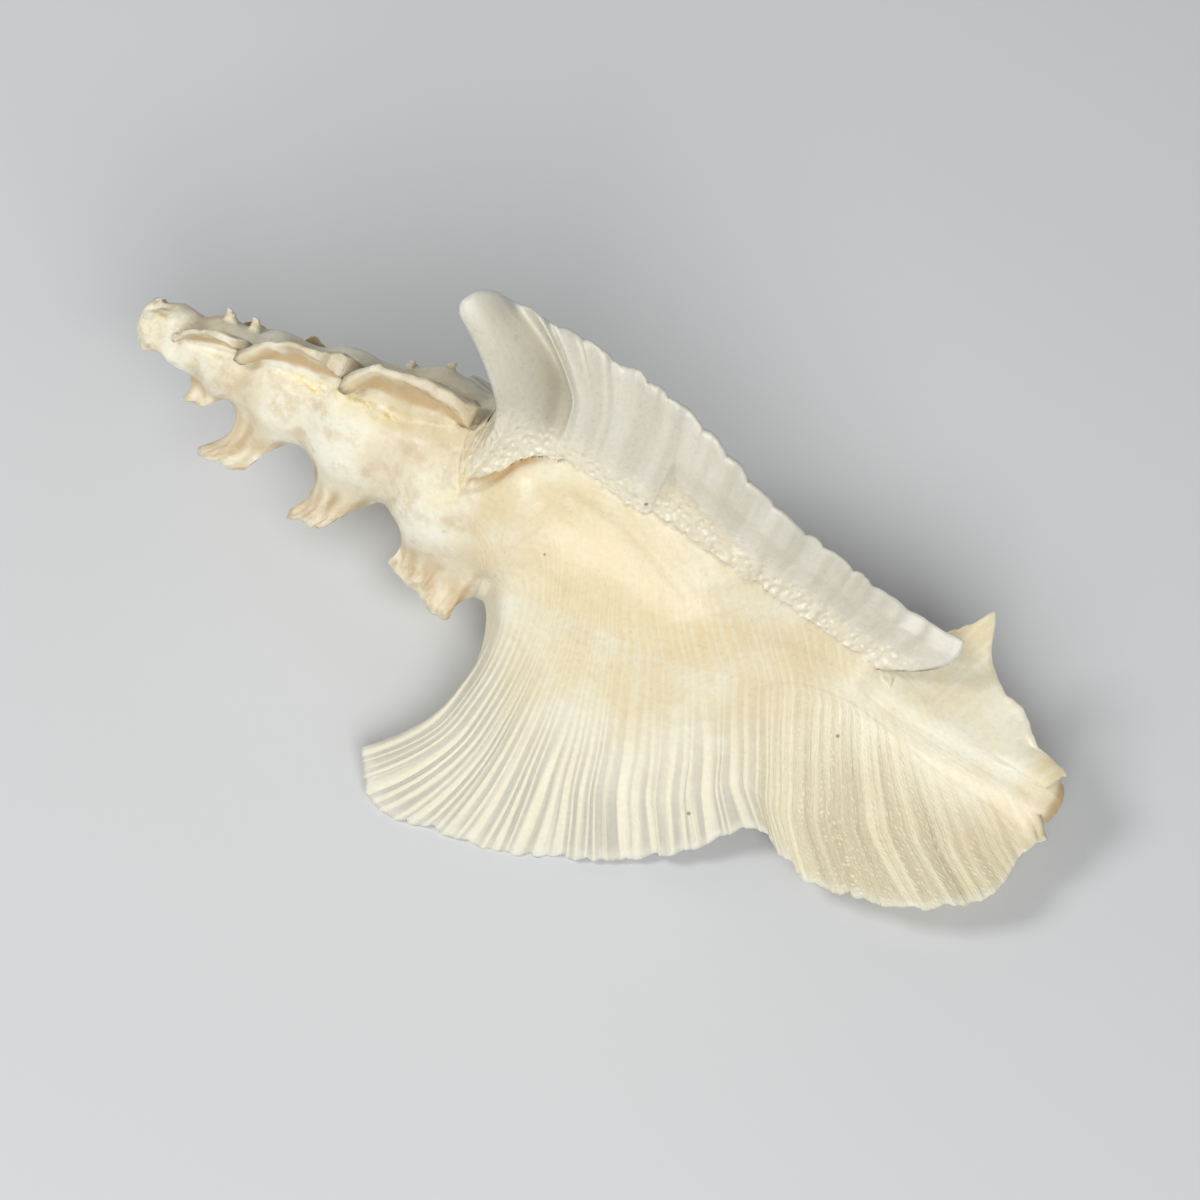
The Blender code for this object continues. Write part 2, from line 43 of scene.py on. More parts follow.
# The shell is drawn along its own axis in millimetres, x from the tip of the spire to the end of
# the canal, with an angle round the axis that grows the way the shell grew. At the end it is
# turned and set down as it rests. A line of stations has the place first and its values after it.
shellForm = {
    "lipSuture": 30.7,  # where the last suture meets the mouth's wing
    "whorlCount": 6,
    "whorlGrowth": 0.25,
    "lastDrop": 1.4,
    "lipAngle": 180,
    "endRings": (74.15, 74.4, 74.6, 74.76, 74.86, 74.9),
    "canalFlatness": 0.48,
    "sutureDepth": 0.19,
    "shoulderReach": 0.22,
    "baseReach": 0.38,
    "growthSwell": 0.14,
    "swellStations": (24.0, 8.0, 62.0, 12.0),  # its two ends, and how long each takes
    "bodyProfile": (
        (0, 0.35), (0.12, 0.85), (0.4, 1.35), (0.8, 1.75), (1.4, 2.08), (3, 2.3),
        (6, 2.75), (10, 3.5), (15, 4.55), (20, 5.75), (25, 6.8), (30, 7.5), (34, 7.8), (37, 7.6),
        (41, 6.9), (45, 6),
        (50, 4.9), (55, 4), (60, 3.3), (65, 2.8), (70, 2.3),
        (74.2, 1.65), (74.7, 1.15), (74.9, 0.5),
    ),
    "centreLine": (
        (0, 0, 0), (12, 0.66, 0), (25, 1.4, 0), (35, 1.5, 0), (45, 1.05, -0.1),
        (52, 0.7, -0.4), (60, 0.2, -0.9), (68, 0, -1), (74.9, 0, -0.8),
    ),
    "firstLine": (
        (2, 96), (7, 78), (12, 69), (17, 64), (21, 64), (25, 61), (28, 56.5), (35, 54), (45, 55),
        (52, 47), (58, 36), (60, 40), (63, 60), (66, 78), (75, 90),
    ),
    "lipLine": (
        (2, 208), (12, 198), (20, 190), (28, 186), (35, 184), (45, 183), (52, 178), (60, 168), (68, 163),
    ),
    "mouthLine": ((0, 262), (28, 236), (37, 227), (43, 230), (50, 236), (60, 243), (75, 246)),
    "underLine": (
        (2, 330), (8, 322), (13, 315), (20, 306), (28, 297), (35, 291), (45, 293), (55, 298), (65, 304),
    ),
    "flangeLine": (
        (2, 396), (12, 380), (25, 358), (40, 352), (52, 358), (60, 364), (68, 372), (75, 374),
    ),
    "columnsBetween": (32, 16, 14, 12, 12),
    "ringSpacing": ((0, 0.12), (1, 0.22), (8, 0.28), (24, 0.26), (27, 0.15), (32, 0.15)),
    "rimSpacing": 0.22,
    "rootSwell": 1.3,
    "spoutSwell": 0.3,  # the share of it under a spout
    "behindReach": 3.6,
    "beforeReach": 1.4,
    "unevenness": 0.12,  # slow lumps all over, in millimetres
    "apexLumps": 0.5,
    "growthLineHeight": 0.03,
    "cordHeight": 0.045,
    "chalkHeight": 0.35,
    "earHollow": 0.75,
    # the callus at the first wing's foot: how far before the line it reaches, and its thickness
    "callusEdge": (
        (24.6, 1, 0), (25.1, 2, 0.12), (25.7, 3.6, 0.35), (26.5, 5, 0.55), (28, 3.8, 0.55),
        (29.4, 2.2, 0.45), (31.8, 1.7, 0.35), (34.5, 1.8, 0.3), (37.5, 2, 0.28), (40.5, 1.4, 0.25),
        (46, 1.1, 0.2),
        (51.7, 0.85, 0.15), (60, 0.6, 0),
    ),
    # how far out of the body, in millimetres, the ribs of the mouth's wing begin to show
    "ribStart": (
        (30, 0.4), (32, 0.8), (35, 2), (38, 3.4), (42, 3.2), (46, 2), (50, 0.5),
        (54, -1.4), (58, -1.6), (61, -1.1), (66, -0.4), (75, 0.2),
    ),
}

mouthForm = {
    "station": 37,
    "halfLength": 5.4,
    "halfWidth": 3.2,
    "rimHeight": 0.55,
    "rimPlace": (1.12, 0.2),  # as a share of the mouth, and its width
    "turn": 150,  # degrees that the throat runs back round the pillar
    "throatRadius": 4,
    "throatHalfLength": 4,
    "throatHalfWidth": 2.5,
    "climb": 1.8,
    "steps": 22,
    "slitStart": 43.4,
    "slitDepth": 1.3,
    "toothHeight": 0.16,
}

# A rib of a wing: where it leaves the body, the bend that it aims for, where it ends, and how far
# from the axis it ends. A sweep: the side that flows out of the body, how far out, and the degrees
# by which it leaves the circle round the axis (None: along the body's own surface).
wingForms = {
    "lip": {
        "line": "lipLine",
        "lean": -3, "curl": -5,
        "thick": (1.5, 1, 0.42), "foot": (6.4, 1),
        "fade": 1.7, "steps": 28,
        "sweep": (-1, 8.5, None),
        "ribs": (
            (32, 35.2, 28.6, 21.4), (33.4, 36.7, 30, 23.6), (34.8, 37.5, 31.8, 24.7),
            (36, 38.2, 34.6, 24.6), (37.1, 39.2, 37.6, 23.9), (38.4, 40.8, 41, 23.2),
            (40.6, 43.6, 46.4, 20.8), (43.8, 47.3, 50.4, 18.4), (47.4, 50.6, 53.5, 15.6),
            (50.2, 52.4, 55.9, 12.6), (51.7, 54, 57.4, 12.6), (53.6, 56.3, 60.6, 13.9),
            (56.6, 59.6, 64.8, 13.3), (59.6, 62.9, 68.6, 12.1), (62.4, 66, 71.3, 10.6),
            (66.4, 69.8, 73.6, 8), (70.2, 72.8, 74, 4.6), (73.9, 74.6, 75.2, 2.4),
        ),
    },
    "first": {
        "line": "firstLine",
        "lean": 9, "curl": -38,
        "thick": (1.4, 0.9, 0.42), "foot": (2, 1.7),
        "fade": 1.7, "steps": 26,
        "sweep": (1, 5, 14),
        "ribs": (
            (25.6, 28.2, 20.7, 16.1), (25.9, 28.6, 20.4, 16.9), (26.5, 29.2, 20.7, 17.5),
            (27.2, 30, 21.2, 17.8), (28.2, 31.4, 22.2, 17.7), (29.2, 32.7, 23.5, 17.1),
            (29.8, 33.2, 24.3, 17.4), (30.5, 33, 25.4, 18),
            (31.4, 32.8, 26.9, 17.9), (34, 34, 31.2, 17.6),
            (37, 37, 35.5, 17.1), (41, 41.3, 40.5, 15.9), (45, 45.3, 45, 13.6),
            (49, 49.4, 49.4, 11.4), (52.6, 53.2, 53.3, 9.9), (55.6, 57, 56.8, 8.7),
            (57.2, 60.6, 60, 8.2), (58.4, 64.3, 63, 8),
        ),
    },
    "under": {
        "line": "underLine",
        "lean": 0, "curl": -22,
        "thick": (1.4, 0.9, 0.5), "foot": (2, 1.2),
        "fade": 1.7, "steps": 20,
        "sweep": None,
        "ribs": (
            (24.6, 24.2, 22.6, 11.4), (26, 25.4, 22.2, 14.2), (27.4, 26.8, 23, 16.6),
            (29.2, 29, 24.6, 17.8), (31.5, 31.6, 28.6, 17.5), (35, 35.4, 33.8, 16.8),
            (39, 39.6, 39.2, 15.7), (43, 43.8, 44, 14.6), (47, 48, 48.6, 13),
            (51, 52.2, 53.2, 10.9), (55, 56.2, 57.4, 9), (58.5, 59.6, 60.6, 6.9),
            (61, 61.8, 62.6, 4.8),
        ),
    },
    "flange": {
        "line": "flangeLine",
        "lean": -8, "curl": 4,
        "thick": (1.2, 0.9, 0.45), "foot": (1.3, 4.6),
        "fade": 1.7, "steps": 14,
        "sweep": (1, 8, None),
        "ribs": (
            (57.6, 58.6, 59.6, 5.2), (59.2, 60.4, 61.6, 7), (60.6, 62, 63.2, 8.7),
            (61.8, 63.2, 64.2, 10.1), (63.2, 64.4, 65.3, 7.5), (65.2, 66.3, 67.2, 5.7),
            (67.4, 68.6, 69.4, 5), (69.6, 70.9, 71.9, 2.8), (71.8, 72.6, 73.2, 2.2),
            (73.4, 73.9, 74.3, 1.7),
        ),
    },
}

reliefForm = {
    "ribPitch": 0.92,  # millimetres along the lip wing's rim
    "ribHeight": 0.1,
    "ribGroups": 0.3,
    "broadHeight": 0.35,  # of the soft folds in the front lobe
    "edgeStep": 0.16,  # of the layer that ends above the callus
    "chipDepth": 0.5,
    "lastStep": 0.985,  # the share of a rib where the rim begins to round
    "stepPower": 1.15,
    # the first wing, along its rim from the shoulder: how far it turns forwards
    "folds": (
        (0, 1), (1.5, 0.5), (3, -0.6), (4.4, -1.5), (5.4, -1.5), (6.3, -0.5), (7, 0.55),
        (7.7, -0.1), (8.4, 0.75), (9.3, -0.1), (10.9, -0.45), (12, 0.3), (12.8, -0.15), (13.4, 0.2),
        (14.9, -0.45), (16.3, 0.3), (17.2, -0.15), (18.1, 0.2), (19.4, -0.3), (20.6, 0.18), (21.8, -0.12),
        (23.2, 0.12), (24.6, -0.14), (26.5, 0.12), (28.2, -0.1), (30.4, 0.1), (33, -0.1), (36, 0.08),
        (40, 0), (60, 0),
    ),
    "pleatHeight": 0.14,
}

# A spout of the spire: the stretch of the line that it stands on, the stretches that its waist
# and its rim span, how far from the axis its rim is at either end, and how deep it is hollowed
spoutForms = {
    "lipLine": {
        "lean": (4, 4), "curl": -14, "thick": (1.6, 1.4, 1.7),
        "fade": 1.2, "steps": 16, "sweep": (-1, 4, 0),
    },
    "firstLine": {
        "lean": (-36, -10), "curl": 50, "thick": (1, 0.5, 0.5),
        "fade": 1.2, "steps": 16, "sweep": None,
    },
    "underLine": {
        "lean": (4, 4), "curl": -14, "thick": (1.2, 0.9, 1),
        "fade": 1.2, "steps": 14, "sweep": None,
    },
    "flangeLine": {
        "lean": (-4, -4), "curl": -6, "thick": (0.8, 0.5, 0.45),
        "fade": 0.8, "steps": 6, "sweep": None,
    },
}
spoutRows = {
    "lipLine": (
        (22.6, 30.6, 25, 29.4, 23.9, 29.8, 8.7, 10.7, 0.5),
        (15, 21.2, 17.8, 19.8, 15.9, 18.9, 8.8, 8.6, 0.5),
        (8.6, 13.8, 10.8, 12.4, 7.7, 11.9, 7.9, 7.3, 0.5),
        (4.6, 8.2, 6, 7.6, 5.2, 7.4, 4.6, 4.2, 0.2),
    ),
    "firstLine": (
        (17, 24.2, 16.2, 23.9, 15.2, 24.8, 8, 8.3, 1.2),
        (9.2, 16.4, 8.6, 15.2, 7.6, 14.8, 5.6, 6.4, 1),
        (3.6, 8.4, 3.4, 7.6, 2.8, 7.2, 3.5, 4, 0.6),
    ),
    "underLine": (
        (17.6, 24, 18.8, 22.6, 18.6, 22.4, 7.3, 7.6, 0.8),
        (10.6, 16, 11.6, 14.6, 11.2, 14.2, 4.7, 5.2, 0.7),
        (6.2, 9.8, 7, 9, 6.6, 8.6, 3.5, 3.7, 0.4),
    ),
    "flangeLine": (
        (5.5, 6.5, 5.5, 6, 5.6, 5.9, 3.5, 3.2, 0),
        (7.4, 8.3, 7.4, 8, 7.5, 7.9, 3.6, 3.5, 0),
        (18.4, 19.1, 18.6, 19, 18.8, 19, 5.3, 5.2, 0),
        (21, 21.7, 21.2, 21.6, 21.5, 21.7, 6.3, 6.3, 0),
    ),
}

# Where the marks lie: a middle and a width, or two ends with the length over which each comes in
markForm = {
    "crustAway": (1.3, 0.9),
    "crustStations": (10.5, 2.0, 21.0, 2.5),
    "lowCrustAway": (3.6, 2.2),
    "lowCrustStations": (23.6, 1.6, 26.9, 0.8),
    "apexCrustEnd": 2.8,
    "honeyStations": (28.6, 2.0),
    "cupStations": (19.3, 0.5),
    "cupAway": (0.6, 0.6),
    "tipStainStart": 73.6,
    "goldStations": (41.0, 10.0),
    "goldAngles": (112.0, 42.0),
    # the trough of the first wing, painted with shade and grey-olive tone
    "troughWalked": (3.9, 1.5),
    "layerStations": (37.5, 2.0, 50.0, 2.0),
    # where the tan and painted shadow under the layer's edge lie
    "layerTanShadowStations": (37.0, 3.0, 50.5, 3.0),
}

restForm = {"roll": 28.0, "pitch": 8.0, "place": (-37.12, 2.84, 15.97)}

columnsBetween = shellForm["columnsBetween"]
columnCount = sum(columnsBetween)
lineColumns = {
    "firstLine": 0,
    "lipLine": columnsBetween[0],
    "mouthLine": sum(columnsBetween[:2]),
    "underLine": sum(columnsBetween[:3]),
    "flangeLine": sum(columnsBetween[:4]),
}
lineWings = {wing["line"]: name for name, wing in wingForms.items()}
sheetForms = {**wingForms, **spoutForms}
lineOrder = ("firstLine", "lipLine", "mouthLine", "underLine", "flangeLine")
tables = {name: shellForm[name] for name in shellForm if isinstance(shellForm[name], tuple)}
tables["folds"] = reliefForm["folds"]
tables.update({name + "Ribs": wing["ribs"] for name, wing in wingForms.items()})


@functools.lru_cache(maxsize=None)
def curveAt(name, at):  # a smooth curve through the stations of a table
    stations = tables[name]
    last = len(stations) - 1
    if at <= stations[0][0]:
        return stations[0][1:]
    if at >= stations[last][0]:
        return stations[last][1:]
    k = next(i for i in range(last) if stations[i + 1][0] >= at)
    here, there = stations[k], stations[k + 1]
    span = there[0] - here[0]
    t = (at - here[0]) / span
    values = []
    for v in range(1, len(here)):
        slopes = []
        for i in (k, k + 1):
            before, after = stations[max(i - 1, 0)], stations[min(i + 1, last)]
            slopes.append((after[v] - before[v]) / (after[0] - before[0]) * span)
        values.append(
            (2 * t**3 - 3 * t**2 + 1) * here[v]
            + (t**3 - 2 * t**2 + t) * slopes[0]
            + (3 * t**2 - 2 * t**3) * there[v]
            + (t**3 - t**2) * slopes[1]
        )
    return tuple(values)


def ease(t):
    t = min(max(t, 0.0), 1.0)
    return t * t * (3 - 2 * t)


def within(at, start, rise, end, fall):  # 1 between two places, easing in and out
    return ease((at - start) / rise) * ease((end - at) / fall)


def hill(at, middle, width):
    return math.exp(-(((at - middle) / width) ** 2))


def mixed(a, b, t):
    return a + (b - a) * t


def outward(angle):
    turn = math.radians(angle)
    return Vector((0.0, math.cos(turn), math.sin(turn)))


def rough(x, y=0.0, z=0.0):  # smooth noise about 0
    return noise.noise(Vector((x, y, z)))


@functools.lru_cache(maxsize=None)
def sutureStation(whorl):
    start = math.exp(-shellForm["whorlGrowth"] * shellForm["whorlCount"])
    along = shellForm["lipSuture"] * (math.exp(shellForm["whorlGrowth"] * whorl) - start) / (1 - start)
    return along - shellForm["lastDrop"] * math.exp(-(((whorl + 0.32) / 0.17) ** 2))


def sutureShare(station, angle):  # the share of the radius that is left in the grooves
    left = 1.0
    turned = (angle % 360.0 - shellForm["lipAngle"]) / 360.0
    for number in range(-int(shellForm["whorlCount"]), 1):
        whorl = turned + number
        if whorl > 0.02:
            continue
        place = sutureStation(round(whorl, 5))
        height = max(sutureStation(round(whorl + 1, 5)) - place, 1.0)
        away = (station - place) / height
        reach = shellForm["shoulderReach"] if away > 0 else shellForm["baseReach"]
        left -= shellForm["sutureDepth"] * ease(-whorl / 0.06 + 0.3) * math.exp(-((away / reach) ** 2))
    return max(left, 0.7)


def lastWhorlSwell(station, angle):
    angle = angle % 360.0
    lip = shellForm["lipAngle"]
    past = curveAt("mouthLine", station)[0] + 34.0
    if angle > past:
        share = (angle - past) / (540.0 - past)
    elif angle <= lip:
        share = (angle + 360.0 - past) / (540.0 - past)
    else:
        share = 1.0 - ease((angle - lip) / (past - lip))
    where = within(station, *shellForm["swellStations"])
    return 1.0 + shellForm["growthSwell"] * (share - 0.6) * where


def arcFrom(line, station, angle, radius):
    apart = (angle - curveAt(line, station)[0] + 180.0) % 360.0 - 180.0
    return math.radians(apart) * radius


def stretchesOf(line):
    ribs = [wing["ribs"] for wing in wingForms.values() if wing["line"] == line]
    spouts = [(spout[0], spout[1], shellForm["spoutSwell"]) for spout in spoutRows[line]]
    return [(rows[0][0], rows[-1][0], 1.0) for rows in ribs] + spouts


lineStretches = {line: stretchesOf(line) for line in lineColumns if line in spoutRows}


@functools.lru_cache(maxsize=None)
def rootPresence(line, station):  # 1 where a wing or a spout stands on its line
    most = 0.0
    for start, end, weight in lineStretches[line]:
        most = max(most, weight * within(station, start - 0.8, 1.6, end + 0.8, 1.6))
    return most


def chalkAmount(station, angle):  # the crust between the spouts of the spire
    away = arcFrom("firstLine", station, angle, 5.0)
    band = hill(away, *markForm["crustAway"]) * within(station, *markForm["crustStations"])
    low = hill(away, *markForm["lowCrustAway"]) * within(station, *markForm["lowCrustStations"])
    tip = ease((markForm["apexCrustEnd"] - station) / 2.0)
    broken = 0.8 + 1.2 * rough(station * 0.9, angle * 0.05, 7.0)
    return min(max(max(band, 0.7 * low, 0.7 * tip) * broken, 0.0), 1.0)


@functools.lru_cache(maxsize=None)
def callusReach(station):
    reach, thick = curveAt("callusEdge", station)
    wander = 0.45 * rough(station * 0.8, 3.0) + 0.22 * rough(station * 2.6, 9.0)
    return reach + wander * min(reach / 1.7, 1.0), thick


def callusAmount(station, angle, radius):  # 1 on the callus before the first wing's foot
    if not 24.8 < station < 60.0:
        return 0.0
    away = arcFrom("firstLine", station, angle, radius)
    edge = callusReach(station)[0]
    return ease((away + 0.9) / 0.8) * ease((edge - away) / 0.55 + 0.5)


@functools.lru_cache(maxsize=None)
def ribSlant(station):
    bend, _, distance = curveAt("lipRibs", station)
    form = wingForms["lip"]
    reach = sheetReach("lip", form["lean"], form["curl"], "lipLine", station, distance)
    return min(2 * (bend - station) / reach, 1.1)


# On the body: how far behind the lip, the lip's rib that runs there, and how far past its start
def ribsOver(station, angle, radius):
    behind = behindLip(station, angle, radius)
    past = max(behind - math.radians(footAngle("lip", -1, station)) * radius, 0.0)
    root = min(station + ribSlant(station) * min(past, 9.0), 74.5)
    return behind, root, -past - curveAt("ribStart", root)[0]


def behindLip(station, angle, radius):  # millimetres from the mouth's wing back over the top
    return -arcFrom("lipLine", station, angle, radius)


def ribShow(past):  # how strongly the ribs show this far past their start, with a growth line there
    return 0.6 * ease((past + 1.2) / 4.2) + 0.4 * ease((past - 0.6) / 0.3)


def bodyRadius(station, angle, detail=True):
    widest = curveAt("bodyProfile", station)[0]
    radius = widest * sutureShare(station, angle) * lastWhorlSwell(station, angle)
    size = min(widest / 6.0, 1.0)
    topside = max(math.sin(math.radians(angle)), 0.0) ** 2
    radius *= 1 - shellForm["canalFlatness"] * topside * ease((station - 46.0) / 14.0)
    for line in lineStretches:
        presence = rootPresence(line, station)
        away = arcFrom(line, station, angle, radius)
        reach = (shellForm["behindReach"] if away < 0 else shellForm["beforeReach"]) * size
        radius += shellForm["rootSwell"] * size * presence / math.cosh(min(abs(away / reach), 30.0))
    across = arcFrom("mouthLine", station, angle, radius)
    along = (station - mouthForm["station"]) / mouthForm["halfLength"]
    edge = math.hypot(along, across / mouthForm["halfWidth"])
    radius += mouthForm["rimHeight"] * hill(edge, *mouthForm["rimPlace"])
    slit = ease((station - mouthForm["slitStart"]) / 2.0)
    radius -= mouthForm["slitDepth"] * min(widest / 3.0, 1.0) * slit * math.exp(-((across / 0.42) ** 2))
    if detail:
        radius += bodyDetail(station, angle, radius, size)
    return radius


def bodyDetail(station, angle, radius, size):
    at = outward(angle) * radius * 0.22
    lumps = shellForm["unevenness"] * size * rough(station * 0.22, at.y, at.z)
    if station < 8:
        fading = ease((8 - station) / 7)
        lumps += shellForm["apexLumps"] * fading * rough(station * 0.75, at.y * 3.4, at.z * 3.4 + 20)
    growth = shellForm["growthLineHeight"] * rough(angle * radius * 0.03, station * 0.12, 4.0)
    growth += 0.5 * shellForm["growthLineHeight"] * rough(angle * radius * 0.09, station * 0.2, 14.0)
    chalk = chalkAmount(station, angle)
    crust = shellForm["chalkHeight"] * chalk * (0.4 + 1.3 * rough(station * 2.6, at.y * 12, at.z * 12))
    callus = callusAmount(station, angle, radius)
    pad = callus * (callusReach(station)[1] + 0.16 * rough(station * 1.2, angle * 0.10, 30.0))
    cords = 0.0
    if station < 26:
        away = arcFrom("firstLine", station, angle, radius)
        for spout in spoutRows["firstLine"]:
            middle, half = (spout[0] + spout[1]) / 2, (spout[1] - spout[0]) / 2
            along = math.exp(-(((station - middle) / half / 0.75) ** 4))
            cords -= shellForm["earHollow"] * size * along * hill(away, 1.1 * size, 0.8 * size)
    if station > 30:
        behind, root, past = ribsOver(station, angle, radius)
        if past > -2 and behind > -1:
            cords = shellForm["cordHeight"] * ribShow(past) * ribProfile(bodyPhase(root))
    return lumps + growth * size + crust + pad + cords


def bodyPoint(station, angle, detail=True):
    sideways, up = curveAt("centreLine", station)
    return Vector((station, sideways, up)) + outward(angle) * bodyRadius(station, angle, detail)


@functools.lru_cache(maxsize=None)
def footWidth(name, side, station):  # how far from its line a wing's foot reaches, behind or before it
    size = min(curveAt("bodyProfile", max(station, 1.0))[0] / 6.0, 1.0)
    if name == "first" and side > 0:
        return 0.95 * callusReach(station)[0] if station > 24.9 else 0.8 * size
    reach = wingForms[name]["foot"][0 if side < 0 else 1]
    if name == "lip" and side < 0:
        reach = mixed(1.2 + 2.6 * standing("lipLine", station), reach, ease((station - 30.6) / 3.0))
    if name == "flange" and side > 0:
        reach = mixed(0.8, reach, ease((station - 57.0) / 6.0))
    return reach * size


def standing(line, station):  # 1 where a spout stands on the line
    return max(within(station, spout[0] - 0.4, 1.0, spout[1] + 0.4, 1.0) for spout in spoutRows[line])


@functools.lru_cache(maxsize=None)
def footAngle(name, side, station):  # the same in degrees, as far as the next line leaves room for it
    line = wingForms[name]["line"]
    k = (lineOrder.index(line) - (1 if side < 0 else 0)) % len(lineOrder)
    share = (*footShares, 0.6 if side > 0 else 0.2)[k]
    room = (lineAngle(k + 1, station) - lineAngle(k, station)) * share
    turn = footWidth(name, side, station) / curveAt("bodyProfile", max(station, 1.0))[0]
    return min(math.degrees(turn), room)


footShares = (0.375, 0.3, 0.3, 0.3)  # the most that a foot takes of the room between two lines


def lineAngle(k, station):
    turns, line = divmod(k, len(lineOrder))
    return curveAt(lineOrder[line], station)[0] + 360.0 * turns


@functools.lru_cache(maxsize=None)
def columnAngles(station):
    angles = []
    for k, count in enumerate(columnsBetween):
        start, end = lineAngle(k, station), lineAngle(k + 1, station)
        even = (end - start) / count
        here, there = (lineWings.get(lineOrder[i % len(lineOrder)]) for i in (k, k + 1))
        innerStart = start + (footAngle(here, 1, station) if here else even)
        innerEnd = end - (footAngle(there, -1, station) if there else even)
        angles.append(start)
        for j in range(count - 1):
            share = j / (count - 2)
            if k == 0:
                share = 0.6 * share + 0.4 * share**2.2  # closer beside the first wing
            angles.append(innerStart + (innerEnd - innerStart) * share)
    return tuple(angles)


@functools.lru_cache(maxsize=None)
def rimLengths(name):  # millimetres along a wing's rim, at every twentieth of a millimetre of its root
    ribs = wingForms[name]["ribs"]
    lengths = [0.0]
    at = ribs[0][0]
    while at < ribs[-1][0]:
        here, there = curveAt(name + "Ribs", at), curveAt(name + "Ribs", at + 0.05)
        lengths.append(lengths[-1] + math.hypot(there[1] - here[1], there[2] - here[2]))
        at += 0.05
    return lengths


@functools.lru_cache(maxsize=None)
def walkedTo(name, root):
    place = (root - wingForms[name]["ribs"][0][0]) / 0.05
    if place < 0:
        return place * 0.05
    lengths = rimLengths(name)
    k = min(int(place), len(lengths) - 2)
    return mixed(lengths[k], lengths[k + 1], min(place - k, 1.0))


def ribPhase(walked, out):
    wander = 1.0 * rough(walked * 0.40, out * 0.5, 2.0) + 0.4 * rough(walked * 1.1, out * 0.9, 5.0)
    return walked / reliefForm["ribPitch"] + wander


@functools.lru_cache(maxsize=None)
def bodyPhase(station):
    return ribPhase(walkedTo("lip", station), 0.0)


def ribProfile(phase):
    strength = 0.6 + 1.1 * rough(round(phase) * 3.7, 1.0)
    minor = 0.22 * (math.cos(2 * math.pi * (phase * 2.63 + 0.6 * rough(phase * 0.7, 33.0))) * 0.5 + 0.5)
    return strength * (math.cos(2 * math.pi * phase) * 0.5 + 0.5) ** 1.3 + minor


def ringStations():  # even on the spire, and even along the rim of the mouth's wing after it
    lip = wingForms["lip"]["ribs"]
    stations = [0.0]
    while stations[-1] < lip[0][0] - 0.08:
        stations.append(round(stations[-1] + curveAt("ringSpacing", stations[-1])[0], 4))
    stations[-1] = lip[0][0]
    at, walked, step = lip[0][0], 0.0, 0.01
    while at < lip[-1][0]:
        walked += max(walkedTo("lip", round(at + step, 4)) - walkedTo("lip", at), 0.9 * step)
        at = round(at + step, 4)
        if walked >= shellForm["rimSpacing"]:
            stations.append(at)
            walked = 0.0
    stations[-1] = lip[-1][0]
    return stations + list(shellForm["endRings"])


class Layers:  # what each point remembers while the shell is drawn
    def __init__(self, bm):
        verts = bm.verts.layers
        self.column = verts.int.new("column")
        self.ring = verts.int.new("ring")
        self.sheet = verts.int.new("sheet")
        self.fan = verts.float_vector.new("fan")  # rib count, how far past the ribs' start, station
        # mouth's wing, first wing, spire, golden middle or the first wing's trough (grey-olive tone and
        # painted shade)
        self.zones = verts.float_color.new("zones")
        self.marks = verts.float_color.new("marks")  # chalk, tan stain and painted shade, callus, worn rim


def paintBody(v, station, angle, layers):
    radius = curveAt("bodyProfile", station)[0] * 1.1
    behind, root, past = ribsOver(station, angle, radius)
    lip = ease((station - 31.0) / 2.0) * ease((behind + 0.6) / 0.6) * ease((12.0 - behind) / 3.0)
    wrapped = (angle - 180.0) % 360.0 / 360.0 - 1.0
    spire = ease((sutureStation(round(wrapped, 4)) + 0.4 - station) / 0.8)
    v[layers.fan] = Vector((bodyPhase(root), past, station))
    v[layers.zones] = (lip, 0.0, spire, goldAmount(station, angle))
    callus = callusAmount(station, angle, radius)
    v[layers.marks] = (chalkAmount(station, angle), stainAndShadowAmount(station, angle, radius), callus, 0.0)


def stainAndShadowAmount(station, angle, radius):  # honey where the last suture meets the callus and tan along it: stain with painted shadow under the callus edge
    away = arcFrom("firstLine", station, angle, radius)
    amount = 0.0
    if 24.8 < station < 60.0:
        # stain and painted shadow just past the callus edge, deepest at the suture corner
        below = away - callusReach(station)[0]
        corner = hill(station, *markForm["honeyStations"])
        amount = math.exp(-max(below / (0.35 + 0.9 * corner), 0.0) ** 1.5) * (0.2 + 0.75 * corner)
        amount *= ease(away / 0.8)
    cup = hill(station, *markForm["cupStations"]) * hill(away, *markForm["cupAway"])
    dip = 0.16 * ease((1.0 - sutureShare(station, angle)) / 0.16 - 0.4) if station < 31 else 0.0
    tip = 0.6 * ease(station - markForm["tipStainStart"])
    return min(max(amount, 0.5 * cup, dip, tip), 1.0)


def goldAmount(station, angle):  # the warm middle of the last whorl
    return hill(station, *markForm["goldStations"]) * hill(angle % 360.0, *markForm["goldAngles"])


def drawWhorls(bm, stations, layers):  # a sheet, rolled up into a tube and closed at both ends
    bmesh.ops.create_grid(bm, x_segments=columnCount, y_segments=len(stations) - 1, size=1.0)
    grid = [{} for _ in stations]
    seam = {}
    for count, v in enumerate(bm.verts):
        i, column = divmod(count, columnCount + 1)
        if column == columnCount:
            seam[v] = grid[i][0]
            continue
        station = stations[i]
        angle = columnAngles(station)[column]
        v.co = bodyPoint(station, angle)
        v[layers.column], v[layers.ring] = column, i
        paintBody(v, station, angle, layers)
        grid[i][column] = v
    bmesh.ops.weld_verts(bm, targetmap=seam)
    bmesh.ops.holes_fill(bm, edges=[e for e in bm.edges if e.is_boundary])
    return grid


def faceAt(bm, grid, i, column):
    corners = ((i, column), (i, column + 1), (i + 1, column + 1), (i + 1, column))
    return bm.faces.get([grid[r][k % columnCount] for r, k in corners])


def drawOut(bm, faces):  # extrudes a patch, and gives back the patch in its new place and its points
    edges = list({e for face in faces for e in face.edges})
    made = bmesh.ops.extrude_face_region(bm, geom=faces + edges)["geom"]
    patch = [g for g in made if isinstance(g, bmesh.types.BMFace)]
    return patch, [g for g in made if isinstance(g, bmesh.types.BMVert)]


